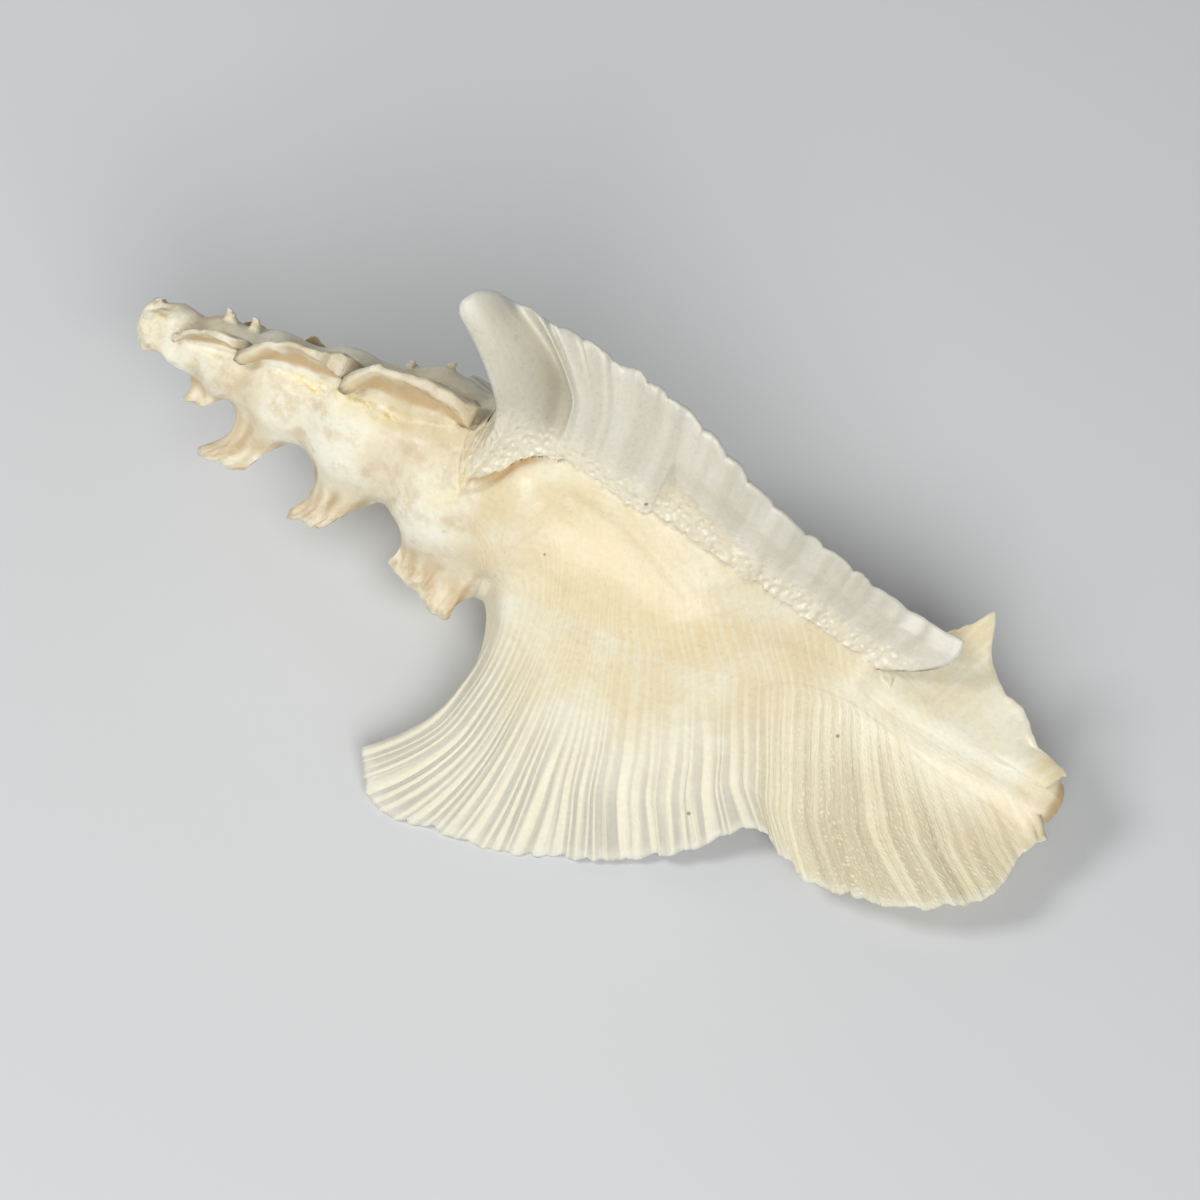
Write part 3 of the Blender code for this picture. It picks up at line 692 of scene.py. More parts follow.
@functools.lru_cache(maxsize=None)
def footing(line, root):  # the body under a rib: its angle, its place and its radius there
    angle = curveAt(line, root)[0]
    return angle, bodyPoint(root, angle, False), bodyRadius(root, angle, False)


@functools.lru_cache(maxsize=None)
def sheetReach(formName, lean, curl, line, root, distance):  # millimetres from root to rim
    halfCurl = math.radians(curl) / 2
    gain = math.sin(halfCurl) / halfCurl * math.cos(math.radians(lean) + halfCurl)
    return max((distance - footing(line, root)[2]) / gain, 0.3)


def sheetPoint(form, line, path, reach, out, side, share, offset, foot):
    root, bend, rim = path
    angle, base = footing(line, root)[:2]
    size = min(curveAt("bodyProfile", root)[0] / 6.0, 1.0)
    height = reach * out
    half = math.radians(form["curl"]) / 2 * out
    turned = angle + form["lean"] + form["curl"] * out
    place = base + outward(angle + form["lean"] + math.degrees(half)) * (height * math.sin(half) / half)
    near, middle, rimThick = form["thick"]
    thick = mixed(mixed(near, middle, ease(out / 0.45)), rimThick, ease((out - 0.45) / 0.55))
    width = thick * share * size**0.5 / 2
    toRim = (height - reach) / width + 1.0
    if toRim > 0:  # the rim is rounded
        width *= math.sqrt(max(1.0 - toRim**2, 0.05))
    fade = max(form["fade"] * size, 0.6 * foot)
    width += max(foot - thick / 2, 0.0) * math.exp(-height / fade)
    place += outward(turned + 90.0) * (side * width + offset)
    place.x = (1 - out) ** 2 * root + 2 * out * (1 - out) * bend + out**2 * rim
    return place


@functools.lru_cache(maxsize=None)
def sweepFrame(key, line, lean, root, reach):  # the curve by which a sheet's side leaves the body
    form = dict(sheetForms[key], lean=lean)
    side, high, kick = form["sweep"]
    high = min(high * min(curveAt("bodyProfile", root)[0] / 6.0, 1.0), 0.7 * reach)
    angle = columnAngles(root)[(lineColumns[line] + side) % columnCount]
    start = bodyPoint(root, angle)
    if kick is None:  # along the body itself
        away = side * (bodyPoint(root, angle, False) - bodyPoint(root, angle + 5.0, False)).normalized()
    else:
        away = outward(angle - side * (90.0 - kick))
    path = (root, root, root)
    end = sheetPoint(form, line, path, reach, high / reach, side, 1.0, 0.0, 0.0)
    before = sheetPoint(form, line, path, reach, 0.9 * high / reach, side, 1.0, 0.0, 0.0)
    along = (end - before).normalized()
    gap = end - start
    turn = away.y * along.z - away.z * along.y
    control = (start + end) / 2 + (away - along) * (gap.length / 4)
    if kick is not None and abs(turn) > 0.05:
        far = (gap.y * along.z - gap.z * along.y) / turn
        back = (away.y * gap.z - away.z * gap.y) / turn
        if far > 0 and back < 1.5 * high:
            control = start + away * far
    return high, start, control, end


def flowOut(key, line, form, root, reach, height, plain, proud, out):
    if not form["sweep"]:
        return plain
    high, start, control, end = sweepFrame(key, line, form["lean"], root, reach)
    u = height / high
    if u >= 1:
        return plain
    lift = outward(footing(line, root)[0] + form["lean"] + form["curl"] * out + 90.0) * proud
    curve = (1 - u) ** 2 * start + 2 * u * (1 - u) * control + u**2 * end + lift * u
    curve.x = plain.x
    return curve.lerp(plain, ease((u - 0.7) / 0.3))


def raiseSheets(bm, grid, layers, sheets):  # all wings or all spouts at once, step by step
    faces = []
    for number, sheet in enumerate(sheets):
        for i in range(sheet["first"], sheet["last"]):
            for c in (sheet["column"] - 1, sheet["column"]):
                face = faceAt(bm, grid, i, c)
                for v in face.verts:
                    v[layers.sheet] = number
                faces.append(face)
    for step in range(max(len(sheet["outs"]) for sheet in sheets)):
        faces = [f for f in faces if len(sheets[f.verts[0][layers.sheet]]["outs"]) > step]
        faces, raised = drawOut(bm, faces)
        for v in raised:
            sheet = sheets[v[layers.sheet]]
            side = (v[layers.column] - sheet["column"] + 1) % columnCount - 1
            sheet["place"](v, v[layers.ring], sheet["outs"][step], side)


def nearestRing(stations, at):
    return min(range(len(stations)), key=lambda i: abs(stations[i] - at))


def endTaper(shareAlong):
    return 0.55 + 0.45 * ease(min(shareAlong, 1 - shareAlong) / 0.06)


def sheetPlan(stations, line, start, end, outs, place):
    first, last = nearestRing(stations, start), nearestRing(stations, end)
    return {"column": lineColumns[line], "first": first, "last": last, "outs": outs, "place": place}


def scallops(walked, pitch, wander, rate, seed):  # how far the rim falls back between its points
    return 1.0 - abs(math.sin(math.pi * (walked / pitch + wander * rough(walked * rate, seed)))) ** 0.6


def lipRelief(walked, root, past, out, side):
    rib = ribProfile(ribPhase(walked, out))
    groups = reliefForm["ribGroups"] * rough(walked * 0.33, out * 0.5, 11.0) * out
    lobe = ease((root - 49) / 4) * ease(out * 2)
    groups += reliefForm["broadHeight"] * rough(walked * 0.62, out * 0.4, 12.0) * lobe
    beads = 1.0 + 0.45 * ease((root - 52) / 4) * math.cos(past * 8.0 + 5.0 * rough(walked * 0.9, 31.0))
    highest = reliefForm["ribHeight"] * (1 - 0.35 * ease((root - 52) / 4))
    most = mixed(shellForm["cordHeight"], highest, ease(out * 1.6))
    height = most * rib * ribShow(past) * beads * (1.0 if side < 0 else 0.45)
    chips = reliefForm["chipDepth"] * (
        scallops(walked, 2.3, 0.55, 0.31, 20.0) * (0.7 + rough(walked * 0.17, 22.0))
        + 1.3 * max(rough(walked * 0.42, 25.0), 0.0)
        + 0.7 * max(rough(walked * 1.7, 27.0) - 0.1, 0.0)
        - 0.25 * rib
    )
    return groups, height, chips


def layerEdge(root, height):  # 1 above the edge of the layer on the first wing's face
    edge = 3.3 * (50.5 - root) / 11.0 + 0.35 * rough(root * 1.1, 34.0)
    return ease((height - edge) / 0.25 + 0.5) * within(root, *markForm["layerStations"])


def firstRelief(walked, root, past, out, side):
    trough = ease((7.5 - walked) / 2.5)
    grown = mixed(0.62 * ease((out - 0.35) / 0.6), ease((out - 0.05) / 0.6), trough)
    fold = curveAt("folds", round(walked, 3))[0] * grown
    pleat = reliefForm["pleatHeight"] * rough(walked * 1.1, out * 0.7, 44.0) * ease(out * 1.6 - 0.4)
    grains = 0.0
    if side > 0:
        grains = 0.22 * ease((3.2 - past) / 2.0) * max(rough(root * 2.6, past * 2.6, 45.0), -0.1)
    ribs = 0.02 * ribProfile(walked / 0.8) * ease((out - 0.3) / 0.5)
    if side > 0:
        pleat += reliefForm["edgeStep"] * layerEdge(root, past + 1.0)
    chips = 0.35 * scallops(walked, 2.6, 0.5, 0.3, 47.0)
    chips += 0.35 * max(rough(walked * 0.33, 49.0), 0.0) + 0.2 * abs(rough(walked * 1.8, 50.0))
    return fold + pleat, ribs + grains, chips * ease((walked - 2.5) / 4.0)


def firstTanAndShadow(root, height):  # tan and painted shadow under the layer's edge
    band = (1.0 - layerEdge(root, height)) * ease((4.5 - height) / 2.5)
    return 0.34 * band * within(root, *markForm["layerTanShadowStations"])


def underRelief(walked, root, past, out, side):
    groups = 0.25 * rough(walked * 0.4, out, 61.0) * out
    rib = ribProfile(walked / 1.0 + 0.8 * rough(walked * 0.3, out * 0.5, 62.0))
    height = 0.13 * rib * ease((out - 0.15) / 0.4) * (1.0 if side < 0 else 0.4)
    chips = 0.3 * scallops(walked, 2.4, 0.5, 0.3, 64.0) + 0.35 * max(rough(walked * 0.5, 63.0), 0.0)
    return groups, height, chips


def flangeRelief(walked, root, past, out, side):
    lumps = 0.05 * rough(walked * 2.0, out * 3, 72.0)
    return 0.25 * rough(walked * 0.5, out, 71.0) * out, lumps, 0.3 * abs(rough(walked * 0.9, 73.0))


def wingSheet(stations, layers, name, relief):
    form = wingForms[name]
    line, ribs, steps = form["line"], form["ribs"], form["steps"]

    def place(v, ring, out, side):
        root = stations[ring]
        bend, rim, distance = curveAt(name + "Ribs", root)
        along = (ring - plan["first"]) / (plan["last"] - plan["first"])
        walked = walkedTo(name, root)
        reach = sheetReach(name, form["lean"], form["curl"], line, root, distance)
        start = curveAt("ribStart", root)[0] if name == "lip" else 1.0
        past = reach * out - start
        offset, height, chips = relief(walked, root, past, out, side)
        ends = ease(min(along, 1 - along) / 0.03)
        path = (root, bend, rim)
        cut = max(reach - chips * ends, 0.3)
        proud = offset + side * height * ends
        flowing = form["sweep"] and side == form["sweep"][0]
        foot = 0.0 if flowing else footWidth(name, side, root)
        v.co = sheetPoint(form, line, path, cut, out, side, endTaper(along), proud, foot)
        if flowing:
            v.co = flowOut(name, line, form, root, reach, cut * out, v.co, proud, out)
        # tan with painted shadow under the layer's edge on the first wing's face
        tanAndPaintedShade = firstTanAndShadow(root, past + 1.0) if name == "first" and side > 0 else 0.0
        v[layers.fan] = Vector((ribPhase(walked, out) if name == "lip" else walked / 1.1, past, root))
        onLip = 1.0 if name in ("lip", "under") else 0.0
        onFirst = 1.0 if name == "first" else 0.0
        # grey-olive tone and painted shade along the first wing's trough
        trough = onFirst * hill(walked, *markForm["troughWalked"]) * ease((1.0 - out) / 0.5)
        callus = onFirst * ease((0.42 - out) / 0.2) if side > 0 else 0.0
        v[layers.zones] = (onLip, onFirst * ease(out / 0.3), 0.0, trough)
        v[layers.marks] = (0.0, tanAndPaintedShade, callus, ease((out - 0.9) / 0.1))

    lastBefore, power = reliefForm["lastStep"], reliefForm["stepPower"]
    outs = [lastBefore * (k / (steps - 1)) ** power for k in range(1, steps)] + [1.0]
    plan = sheetPlan(stations, line, ribs[0][0], ribs[-1][0], outs, place)
    print("wing", name, "on rings", plan["first"], "to", plan["last"])
    return plan


def spoutSheet(stations, layers, line, spout):
    start, end, waistStart, waistEnd, rimStart, rimEnd, farStart, farEnd, hollow = spout
    form = spoutForms[line]
    steps = form["steps"]

    def place(v, ring, out, side):
        along = (ring - plan["first"]) / (plan["last"] - plan["first"])
        root = stations[ring]
        shape = dict(form, lean=mixed(*form["lean"], along))
        far = mixed(farStart, farEnd, along) * 1.02 + min(hollow, 1.0) * (
            0.8 * rough(along * 4 + start, 84.0) + 0.45 * rough(along * 9 + start, 86.0)
        )
        drop = 2.6 * abs(2 * along - 1) ** 3 if line == "firstLine" else 1.3 * abs(2 * along - 1) ** 10
        far -= min(hollow, 1.0) * drop
        reach = max(sheetReach(line, shape["lean"], form["curl"], line, root, far), 0.3)
        lumps = rough(root * 1.3, reach * out * 1.3, 81.0 + side)
        lumps += 0.6 * rough(root * 2.9, reach * out * 2.9, 82.0 + side)
        path = (
            root,
            mixed(waistStart, waistEnd, along),
            mixed(rimStart, rimEnd, along) + 0.35 * rough(along * 3 + start, 83.0) * out,
        )
        cupped = hollow * (1.5 * (1 - along) ** 4 + 0.3 * along**4 - 0.35) * ease(out * 1.5)
        corrugated = 0.0
        if line == "lipLine" and start > 20:
            corrugated = 0.09 * math.cos(along * 40) * ease(out * 2 - 0.4)
        coarse = 0.36 if line == "lipLine" else 0.12
        swelling = coarse * max(lumps, -0.3) * ease(out * 1.6 - 0.2) * min(hollow * 4, 1.0)
        offset = cupped + side * (corrugated + swelling)
        blunt = mixed(endTaper(along), 1.0, 0.5)
        if line == "firstLine":
            blunt = 0.4 + 0.6 * ease((1 - along) / 0.3)
        flowing = form["sweep"] and side == form["sweep"][0]
        foot = 0.0 if flowing else footWidth(lineWings[line], side, root)
        v.co = sheetPoint(shape, line, path, reach, out, side, blunt, offset, foot)
        if flowing:
            v.co = flowOut(line, line, shape, root, reach, reach * out, v.co, offset, out)
        v[layers.fan] = Vector((along * 6, reach * out, root))
        v[layers.zones] = (0.0, 0.0, 1.0, 0.0)
        # painted shade in tan: inside a spout's hollow, and in patches over the hollowed spouts
        inside = ease(out * 2) * (1 - out) if side > 0 else 0.0
        pitted = 0.5 * ease((out - 0.55) / 0.3) * (0.5 + rough(root * 2, out * 5, 85.0))
        shaded = 0.3 + 0.4 * rough(root * 0.9, out * 2.5, 87.0) if hollow > 0 else 0.0
        tanAndPaintedShade = min(0.6 * inside + max(shaded, 0.0), 0.6) * ease(out * 3)
        v[layers.marks] = (max(pitted, 0.0), tanAndPaintedShade, 0.0, 0.6 * out**3)

    outs = [1 - (1 - k / steps) ** 1.3 for k in range(1, steps + 1)]
    plan = sheetPlan(stations, line, start, end, outs, place)
    return plan


def throatFrame(depth):
    radius = bodyRadius(mouthForm["station"], curveAt("mouthLine", mouthForm["station"])[0], False)

    def centre(at):
        angle = curveAt("mouthLine", mouthForm["station"])[0] - mouthForm["turn"] * max(at, 0.0) ** 1.5
        station = mouthForm["station"] - mouthForm["climb"] * at
        sideways, up = curveAt("centreLine", station)
        away = mixed(radius, mouthForm["throatRadius"], ease(at / 0.42))
        return Vector((station, sideways, up)) + outward(angle) * away

    ahead = centre(depth + 0.02) - centre(max(depth - 0.02, 0.0))
    ahead.x = 0.0
    ahead.normalize()
    return centre(depth), Vector((0.0, ahead.z, -ahead.y))


def openMouth(bm, grid, stations, layers):
    middle = mouthForm["station"]
    halfLength, halfWidth = mouthForm["halfLength"], mouthForm["halfWidth"]

    def local(v):
        station = stations[v[layers.ring]]
        angle = columnAngles(station)[v[layers.column]]
        across = arcFrom("mouthLine", station, angle, bodyRadius(station, angle, False)) / halfWidth
        return (station - middle) / halfLength, across

    inside = []
    near = [i for i in range(len(stations) - 1) if abs(stations[i] - middle) < halfLength + 1]
    for i in near:
        for c in range(lineColumns["lipLine"] + 1, lineColumns["underLine"] - 1):
            face = faceAt(bm, grid, i, c)
            places = [local(v) for v in face.verts]
            if math.hypot(sum(p[0] for p in places) / 4, sum(p[1] for p in places) / 4) < 1.0:
                inside.append(face)
    chosen = set(inside)
    flat = {}
    for v in {v for face in inside for v in face.verts}:
        along, across = local(v)
        if any(f not in chosen for f in v.link_faces):
            reach = math.hypot(along, across)
            along, across = along / reach, across / reach
            station = round(middle + along * halfLength, 3)
            middleAngle = curveAt("mouthLine", station)[0]
            radius = bodyRadius(station, middleAngle + 20.0 * across, False)
            v.co = bodyPoint(station, middleAngle + math.degrees(across * halfWidth / radius))
        flat[(v[layers.ring], v[layers.column])] = (along, across)
    faces = inside
    for step in range(1, mouthForm["steps"] + 1):
        depth = step / mouthForm["steps"]
        faces, sunk = drawOut(bm, faces)
        centre, acrossWay = throatFrame(depth)
        narrowing = ease(depth * 2.2)
        long = mixed(halfLength, mouthForm["throatHalfLength"], narrowing)
        wide = mixed(halfWidth, mouthForm["throatHalfWidth"], narrowing)
        for v in sunk:
            along, across = flat[(v[layers.ring], v[layers.column])]
            teeth = math.cos(along * 24) * ease(-across * 3) * ease(0.5 - abs(depth - 0.12) * 5)
            teeth *= mouthForm["toothHeight"]
            v.co = centre + Vector((along * long, 0, 0)) + acrossWay * (across * wide + teeth)
            v[layers.zones] = (0.0, 0.0, 0.0, 0.3)
            v[layers.marks] = (0.0, 0.3 * depth, 0.0, 0.0)
            v[layers.fan] = Vector((0.0, -20.0, middle))


def restTurn():
    roll = Matrix.Rotation(math.radians(restForm["roll"]), 4, "X")
    return Matrix.Rotation(math.radians(restForm["pitch"]), 4, "Y") @ roll


def layDown(bm):  # as it rests: what would reach below the surface is worn away
    bmesh.ops.transform(bm, matrix=restTurn(), verts=bm.verts)
    bmesh.ops.translate(bm, vec=Vector(restForm["place"]), verts=bm.verts)
    for v in bm.verts:
        v.co.z = max(v.co.z, 0.0)
    bmesh.ops.scale(bm, vec=Vector((millimetre,) * 3), verts=bm.verts)


def buildShell():
    bm = bmesh.new()
    layers = Layers(bm)
    stations = ringStations()
    print("whorls:", len(stations), "rings of", columnCount)
    grid = drawWhorls(bm, stations, layers)
    openMouth(bm, grid, stations, layers)
    print("mouth opened")
    spouts = [(line, spout) for line, row in spoutRows.items() for spout in row]
    raiseSheets(bm, grid, layers, [spoutSheet(stations, layers, *spout) for spout in spouts])
    print("spouts drawn:", len(spouts))
    reliefs = {"lip": lipRelief, "first": firstRelief, "under": underRelief, "flange": flangeRelief}
    raiseSheets(bm, grid, layers, [wingSheet(stations, layers, *relief) for relief in reliefs.items()])
    print("wings drawn")
    layDown(bm)
    bmesh.ops.triangulate(bm, faces=[f for f in bm.faces if len(f.verts) > 4])
    bmesh.ops.recalc_face_normals(bm, faces=bm.faces)
    mesh = bpy.data.meshes.new("shell_grown")
    bm.to_mesh(mesh)
    bm.free()
    mesh.shade_smooth()
    shell = bpy.data.objects.new("shell_grown", mesh)
    bpy.context.scene.collection.objects.link(shell)
    print("shell has", sum(len(p.vertices) - 2 for p in mesh.polygons), "triangles")
    return shell


# Materials

def addNode(tree, kind, sockets=None, **settings):
    made = tree.nodes.new("ShaderNode" + kind)
    for name, value in settings.items():
        setattr(made, name, value)
    for name, value in (sockets or {}).items():
        if isinstance(value, bpy.types.NodeSocket):
            tree.links.new(value, made.inputs[name])
        else:
            made.inputs[name].default_value = value
    return made


def maths(tree, operation, a, b=0.0, c=0.0):
    return addNode(tree, "Math", {0: a, 1: b, 2: c}, operation=operation).outputs[0]


def remap(tree, value, low, high, toLow=0.0, toHigh=1.0):
    sockets = {"Value": value, "From Min": low, "From Max": high, "To Min": toLow, "To Max": toHigh}
    return addNode(tree, "MapRange", sockets, interpolation_type="SMOOTHSTEP").outputs["Result"]


def mixColour(tree, share, a, b, blend="MIX"):
    sockets = {"Factor": share, 6: a, 7: b}  # the node's two colours
    return addNode(tree, "Mix", sockets, data_type="RGBA", blend_type=blend).outputs[2]


def srgb(red, green, blue):  # 0 to 255
    def linear(value):
        return ((value / 255 + 0.055) / 1.055) ** 2.4 if value > 10 else value / 255 / 12.92

    return (linear(red), linear(green), linear(blue), 1.0)


def newGroup(name, given):  # takes one vector
    group = bpy.data.node_groups.new(name, "ShaderNodeTree")
    group.interface.new_socket(given, in_out="INPUT", socket_type="NodeSocketVector")
    return group, group.nodes.new("NodeGroupInput").outputs[given]


def closeGroup(group, results):  # gives back numbers
    for name in results:
        group.interface.new_socket(name, in_out="OUTPUT", socket_type="NodeSocketFloat")
    end = group.nodes.new("NodeGroupOutput")
    for name, value in results.items():
        group.links.new(value, end.inputs[name])
    return group


def noiseOver(tree, x, y, z, detail=2.0):  # noise over two running lengths
    place = addNode(tree, "CombineXYZ", {"X": x, "Y": y, "Z": z}).outputs[0]
    return addNode(tree, "TexNoise", {"Vector": place, "Scale": 1.0, "Detail": detail}).outputs["Fac"]


def ribStreaksGroup():  # cream cords with clear shell between them, beads, and lines of growth across
    group, fan = newGroup("rib streaks", "Fan")
    rib, past, station = addNode(group, "SeparateXYZ", {"Vector": fan}).outputs

    def times(value, by):
        return maths(group, "MULTIPLY", value, by)

    broad = noiseOver(group, times(rib, 0.45), times(past, 0.03), 0.0, 1.0)
    thin = noiseOver(group, times(rib, 2.2), times(past, 0.06), 4.0, 2.0)
    wave = maths(group, "COSINE", times(rib, 2 * math.pi))
    cord = maths(group, "MULTIPLY_ADD", wave, 0.2, maths(group, "MULTIPLY_ADD", broad, 0.6, thin))
    fine = noiseOver(group, times(rib, 6.0), times(past, 0.4), 3.0, 3.0)
    dots = addNode(group, "CombineXYZ", {"X": times(rib, 4.0), "Y": times(past, 4.2)}).outputs[0]
    bead = addNode(group, "TexVoronoi", {"Vector": dots, "Scale": 1.0, "Randomness": 0.6}).outputs[0]
    growth = noiseOver(group, times(station, 0.09), times(past, 0.7), 9.0, 4.0)
    return closeGroup(group, {
        "Cord": remap(group, cord, 0.55, 1.05),
        "Broad": remap(group, broad, 0.38, 0.6),
        "Fine": fine,
        "Bead": remap(group, bead, 0.15, 0.55, 1.0, 0.0),
        "Growth": growth,
    })


def mottleGroup():  # slow colour clouds, a fine grain and scattered dark specks, on Object coordinates
    group, place = newGroup("shell mottle", "Place")

    def noiseAt(name, detail, roughness):
        sockets = {"Vector": place, "Scale": mottleScales[name], "Detail": detail, "Roughness": roughness}
        return addNode(group, "TexNoise", sockets).outputs["Fac"]

    cells = addNode(group, "TexVoronoi", {"Vector": place, "Scale": mottleScales["speck"]}).outputs
    dots = remap(group, cells["Distance"], 0.035, 0.075, 1.0, 0.0)
    few = remap(group, addNode(group, "SeparateXYZ", {"Vector": cells["Color"]}).outputs[0], 0.80, 0.84)
    pitted = {"Vector": place, "Scale": mottleScales["pit"]}
    pits = addNode(group, "TexVoronoi", pitted, feature="SMOOTH_F1")
    return closeGroup(group, {
        "Cloud": remap(group, noiseAt("cloud", 4.0, 0.55), 0.38, 0.66),
        "Blotch": remap(group, noiseAt("blotch", 5.0, 0.6), 0.48, 0.68),
        "Grain": noiseAt("grain", 5.0, 0.65),
        "Speck": maths(group, "MULTIPLY", dots, few),
        "Pits": pits.outputs["Distance"],
    })


mottleScales = {"cloud": 160.0, "blotch": 420.0, "grain": 2600.0, "speck": 380.0, "pit": 2100.0}

shellColours = {
    "body": srgb(240, 225, 186),
    "gold": srgb(240, 220, 172),
    "milk": srgb(254, 250, 230),
    "beige": srgb(222, 204, 168),
    "clear": srgb(203, 199, 184),
    "cord": srgb(246, 239, 214),
    "lobe": srgb(246, 234, 196),
    "grain": srgb(216, 202, 164),
    "face": srgb(214, 209, 192),
    "ridge": srgb(240, 237, 224),
    "shade": srgb(172, 164, 140),
    "callus": srgb(240, 232, 208),
    "spire": srgb(238, 225, 192),
    "chalk": srgb(252, 236, 188),
    "tan": srgb(204, 178, 136),
    "honey": srgb(216, 170, 96),
    "speck": srgb(96, 84, 66),
}


bumpForm = {"Strength": 0.7, "Distance": 0.0005}
glowForm = {
    "Subsurface Weight": 0.18,
    "Subsurface Radius": (1.0, 0.75, 0.45),
    "Subsurface Scale": 0.001,
    "IOR": 1.5,
}


def shellMaterial():
    material = bpy.data.materials.new("shell_finish")
    material.use_nodes = True
    tree = material.node_tree
    shader = tree.nodes["Principled BSDF"]
    place = addNode(tree, "TexCoord").outputs["Object"]
    fan = addNode(tree, "Attribute", attribute_name="fan").outputs["Vector"]
    past, station = addNode(tree, "SeparateXYZ", {"Vector": fan}).outputs[1:3]
    zones = addNode(tree, "Attribute", attribute_name="zones").outputs
    marks = addNode(tree, "Attribute", attribute_name="marks").outputs
    wing, first, spire = addNode(tree, "SeparateColor", {"Color": zones["Color"]}).outputs
    chalk, stainAndShade, callus = addNode(tree, "SeparateColor", {"Color": marks["Color"]}).outputs
    streaks = addNode(tree, "Group", {"Fan": fan}, node_tree=ribStreaksGroup()).outputs
    mottle = addNode(tree, "Group", {"Place": place}, node_tree=mottleGroup()).outputs
    c = shellColours

    def times(a, b):
        return maths(tree, "MULTIPLY", a, b)

    def cover(base, *coats):  # one coat after another over a colour, each with its share
        base = c[base] if isinstance(base, str) else base
        for share, coat in coats:
            base = mixColour(tree, share, base, c[coat] if isinstance(coat, str) else coat)
        return base

    faint = times(remap(tree, streaks["Cord"], 0.4, 1.0, 0.0, 0.24), remap(tree, past, -13.0, -3.0))
    body = cover(
        "body",
        (times(mottle["Cloud"], 0.75), "milk"),
        (times(zones["Alpha"], 0.8), "gold"),
        (remap(tree, streaks["Growth"], 0.5, 0.75, 0.0, 0.3), "beige"),
        (faint, "milk"),
    )
    lobe = remap(tree, station, 49.0, 55.0)
    ribbed = times(wing, remap(tree, past, -1.0, 6.0))
    ribs = cover("clear", (streaks["Cord"], "cord"))
    beaded = cover("grain", (streaks["Bead"], "lobe"))
    lobed = cover(beaded, (streaks["Broad"], "lobe"), (0.22, ribs))
    line = times(remap(tree, past, 0.45, 0.65), remap(tree, past, 0.65, 0.95, 1.0, 0.0))
    line = times(times(line, wing), remap(tree, station, 54.0, 50.0, 1.0, 0.0))
    # the first wing's face, with grey-olive tone and painted shade in its trough
    face = cover(
        "face",
        (remap(tree, streaks["Broad"], 0.2, 1.0, 0.0, 0.4), "ridge"),
        (remap(tree, streaks["Fine"], 0.45, 0.7, 0.0, 0.12), "ridge"),
        (times(zones["Alpha"], 0.85), "shade"),
    )
    spots = times(callus, remap(tree, mottle["Pits"], 0.25, 0.5, 1.0, 0.0))
    colour = cover(
        body,
        (times(ribbed, 0.95), cover(ribs, (lobe, lobed))),
        (times(line, 0.3), "beige"),
        (first, face),
        (spire, cover("spire", (mottle["Cloud"], "milk"), (times(mottle["Blotch"], 0.8), "beige"))),
        # tan and honey: stain, with painted shade and shadow in hollows and under edges
        (remap(tree, stainAndShade, 0.0, 0.6), "tan"),
        (remap(tree, stainAndShade, 0.5, 1.0), "honey"),
        (times(callus, 0.8), "callus"),
        (times(spots, mottle["Blotch"]), "milk"),
        (chalk, cover("chalk", (mottle["Blotch"], "milk"))),
        (times(marks["Alpha"], 0.5), "ridge"),
    )
    shade = remap(tree, mottle["Grain"], 0.2, 0.8, 0.93, 1.03)
    tint = addNode(tree, "CombineColor", {0: shade, 1: shade, 2: shade}).outputs[0]
    colour = mixColour(tree, 1.0, colour, tint, "MULTIPLY")
    colour = cover(colour, (times(mottle["Speck"], 0.7), "speck"))
    tree.links.new(colour, shader.inputs["Base Color"])

    def add(start, *parts):
        for amount, by in parts:
            start = maths(tree, "MULTIPLY_ADD", amount, by, start)
        return start

    dull = add(0.2, (mottle["Grain"], 0.2), (chalk, 0.3), (spire, 0.1), (ribbed, 0.1), (callus, -0.08))
    tree.links.new(dull, shader.inputs["Roughness"])

    height = add(
        times(mottle["Grain"], 0.05),
        (streaks["Growth"], 0.12),
        (times(maths(tree, "ADD", streaks["Fine"], streaks["Cord"]), ribbed), 0.12),
        (times(times(streaks["Bead"], ribbed), lobe), 0.08),
        (times(add(chalk, (callus, 0.9)), mottle["Pits"]), 0.9),
        (times(spire, mottle["Blotch"]), -0.12),
    )
    bump = addNode(tree, "Bump", {"Height": height, **bumpForm})
    tree.links.new(bump.outputs["Normal"], shader.inputs["Normal"])
    for name, value in glowForm.items():
        shader.inputs[name].default_value = value
    return material


# Floor, light and camera

stageForm = {
    "floorColour": srgb(226, 228, 229),
    "floorHalf": 1.5,
    "cameraAway": 0.45,
    "frameWidth": 1200 * 0.0718,  # millimetres across the photo, at the shell
    "lookAt": (38.72, -2.46, 0.0),  # on the shell's own axes
    "axisInPhoto": (0.8813, -0.4726),  # the shell's axis in the frame, right and up
    "sensorWidth": 36.0,
    "worldColour": (0.95, 0.97, 1.0, 1.0),
    "worldStrength": 0.14,
    "lampAway": 0.5,
    # a lamp: the way to it in the frame, right, up and near, then its size and its power
    "lamps": {
        "key": ((0.1, -0.3, 1.0), 0.3, 1.45),
        "gloss": ((-0.7, 0.45, 0.8), 0.16, 0.95),
        "fill": ((0.9, -0.5, 0.6), 0.5, 0.3),
    },
}


def fromPhoto(right, up, near):  # a direction in the frame of the photo, in the shell's resting place
    r, u = stageForm["axisInPhoto"]
    own = Vector((right * r + up * u, -right * u + up * r, near))
    return restTurn().to_3x3() @ own


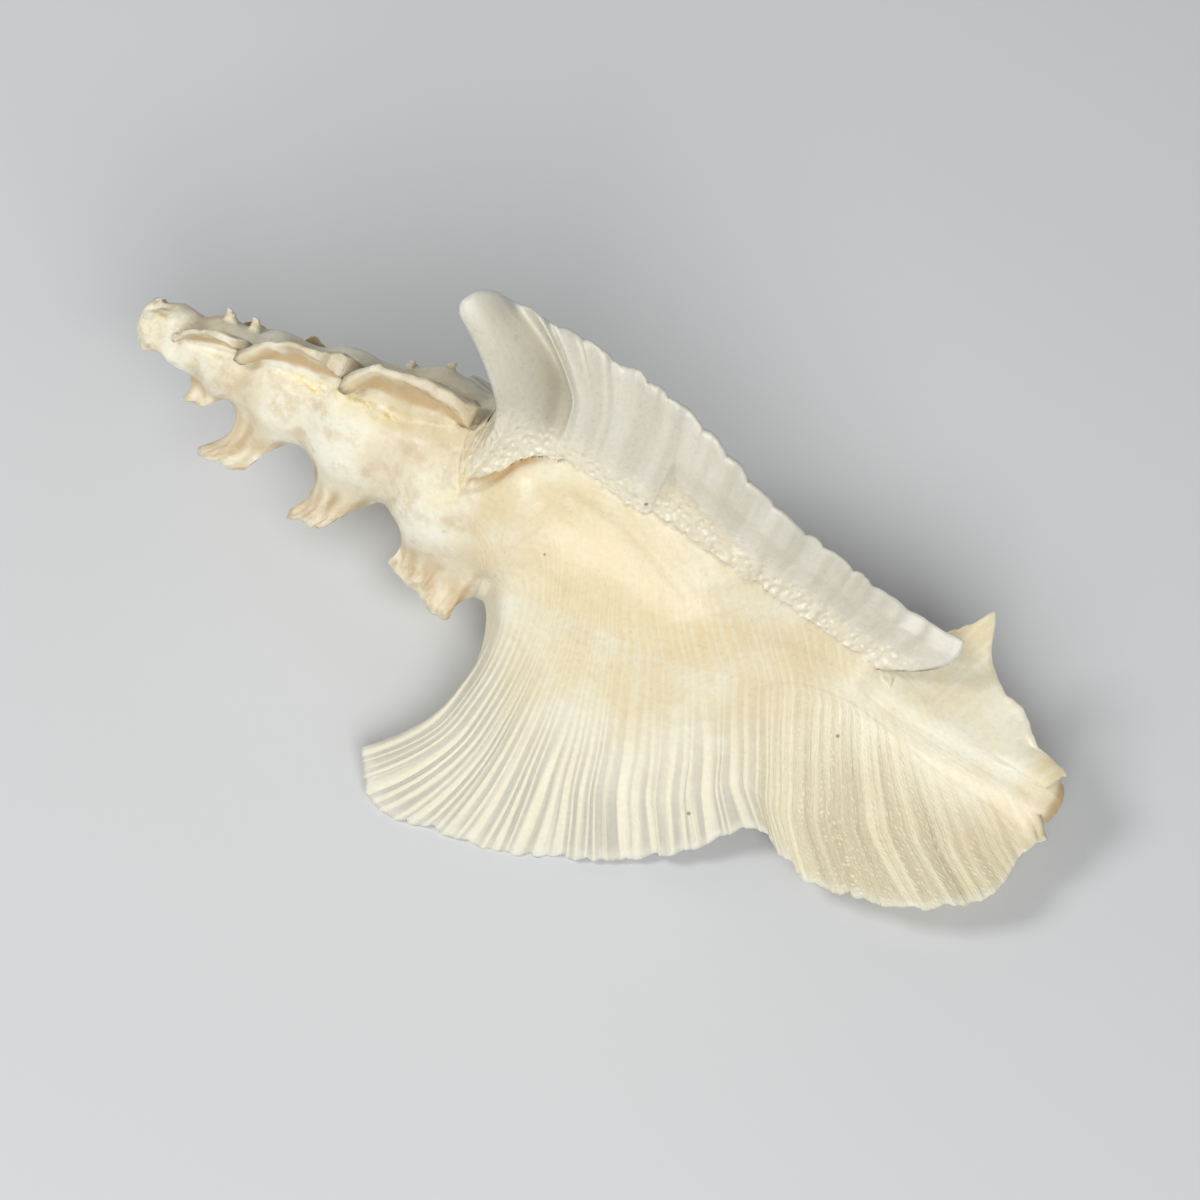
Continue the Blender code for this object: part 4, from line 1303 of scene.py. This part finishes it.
def makeStage():
    bm = bmesh.new()
    bmesh.ops.create_grid(bm, x_segments=1, y_segments=1, size=stageForm["floorHalf"])
    mesh = bpy.data.meshes.new("floor")
    bm.to_mesh(mesh)
    bm.free()
    floor = bpy.data.objects.new("floor", mesh)
    bpy.context.scene.collection.objects.link(floor)
    material = bpy.data.materials.new("floor_paper")
    material.use_nodes = True
    shader = material.node_tree.nodes["Principled BSDF"]
    shader.inputs["Base Color"].default_value = stageForm["floorColour"]
    shader.inputs["Roughness"].default_value = 0.9
    mesh.materials.append(material)

    world = bpy.data.worlds.new("studio")
    bpy.context.scene.world = world
    world.use_nodes = True
    background = world.node_tree.nodes["Background"]
    background.inputs["Color"].default_value = stageForm["worldColour"]
    background.inputs["Strength"].default_value = stageForm["worldStrength"]

    middle = restTurn() @ Vector(stageForm["lookAt"]) + Vector(restForm["place"])
    middle *= millimetre
    for name, (way, size, power) in stageForm["lamps"].items():
        light = bpy.data.lights.new(name, "AREA")
        light.size = size
        light.energy = power
        lamp = bpy.data.objects.new(name, light)
        bpy.context.scene.collection.objects.link(lamp)
        away = fromPhoto(*way).normalized()
        lamp.location = middle + away * stageForm["lampAway"]
        lamp.rotation_euler = away.to_track_quat("Z", "Y").to_euler()

    lens = bpy.data.cameras.new("camera")
    camera = bpy.data.objects.new("camera", lens)
    bpy.context.scene.collection.objects.link(camera)
    toCamera, up, right = fromPhoto(0, 0, 1), fromPhoto(0, 1, 0), fromPhoto(1, 0, 0)
    turn = Matrix((right, up, toCamera)).transposed().to_4x4()
    camera.matrix_world = Matrix.Translation(middle + toCamera * stageForm["cameraAway"]) @ turn
    lens.sensor_width = stageForm["sensorWidth"]
    lens.lens = lens.sensor_width * stageForm["cameraAway"] / (stageForm["frameWidth"] * millimetre)
    lens.clip_start, lens.clip_end = 0.01, 10.0
    bpy.context.scene.camera = camera
    bpy.context.scene.view_settings.view_transform = "Standard"  # shows the colours as they are given
    print("stage set")


makeStage()
shell = buildShell()
shell.data.materials.append(shellMaterial())
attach(shell, "root")
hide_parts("shell")
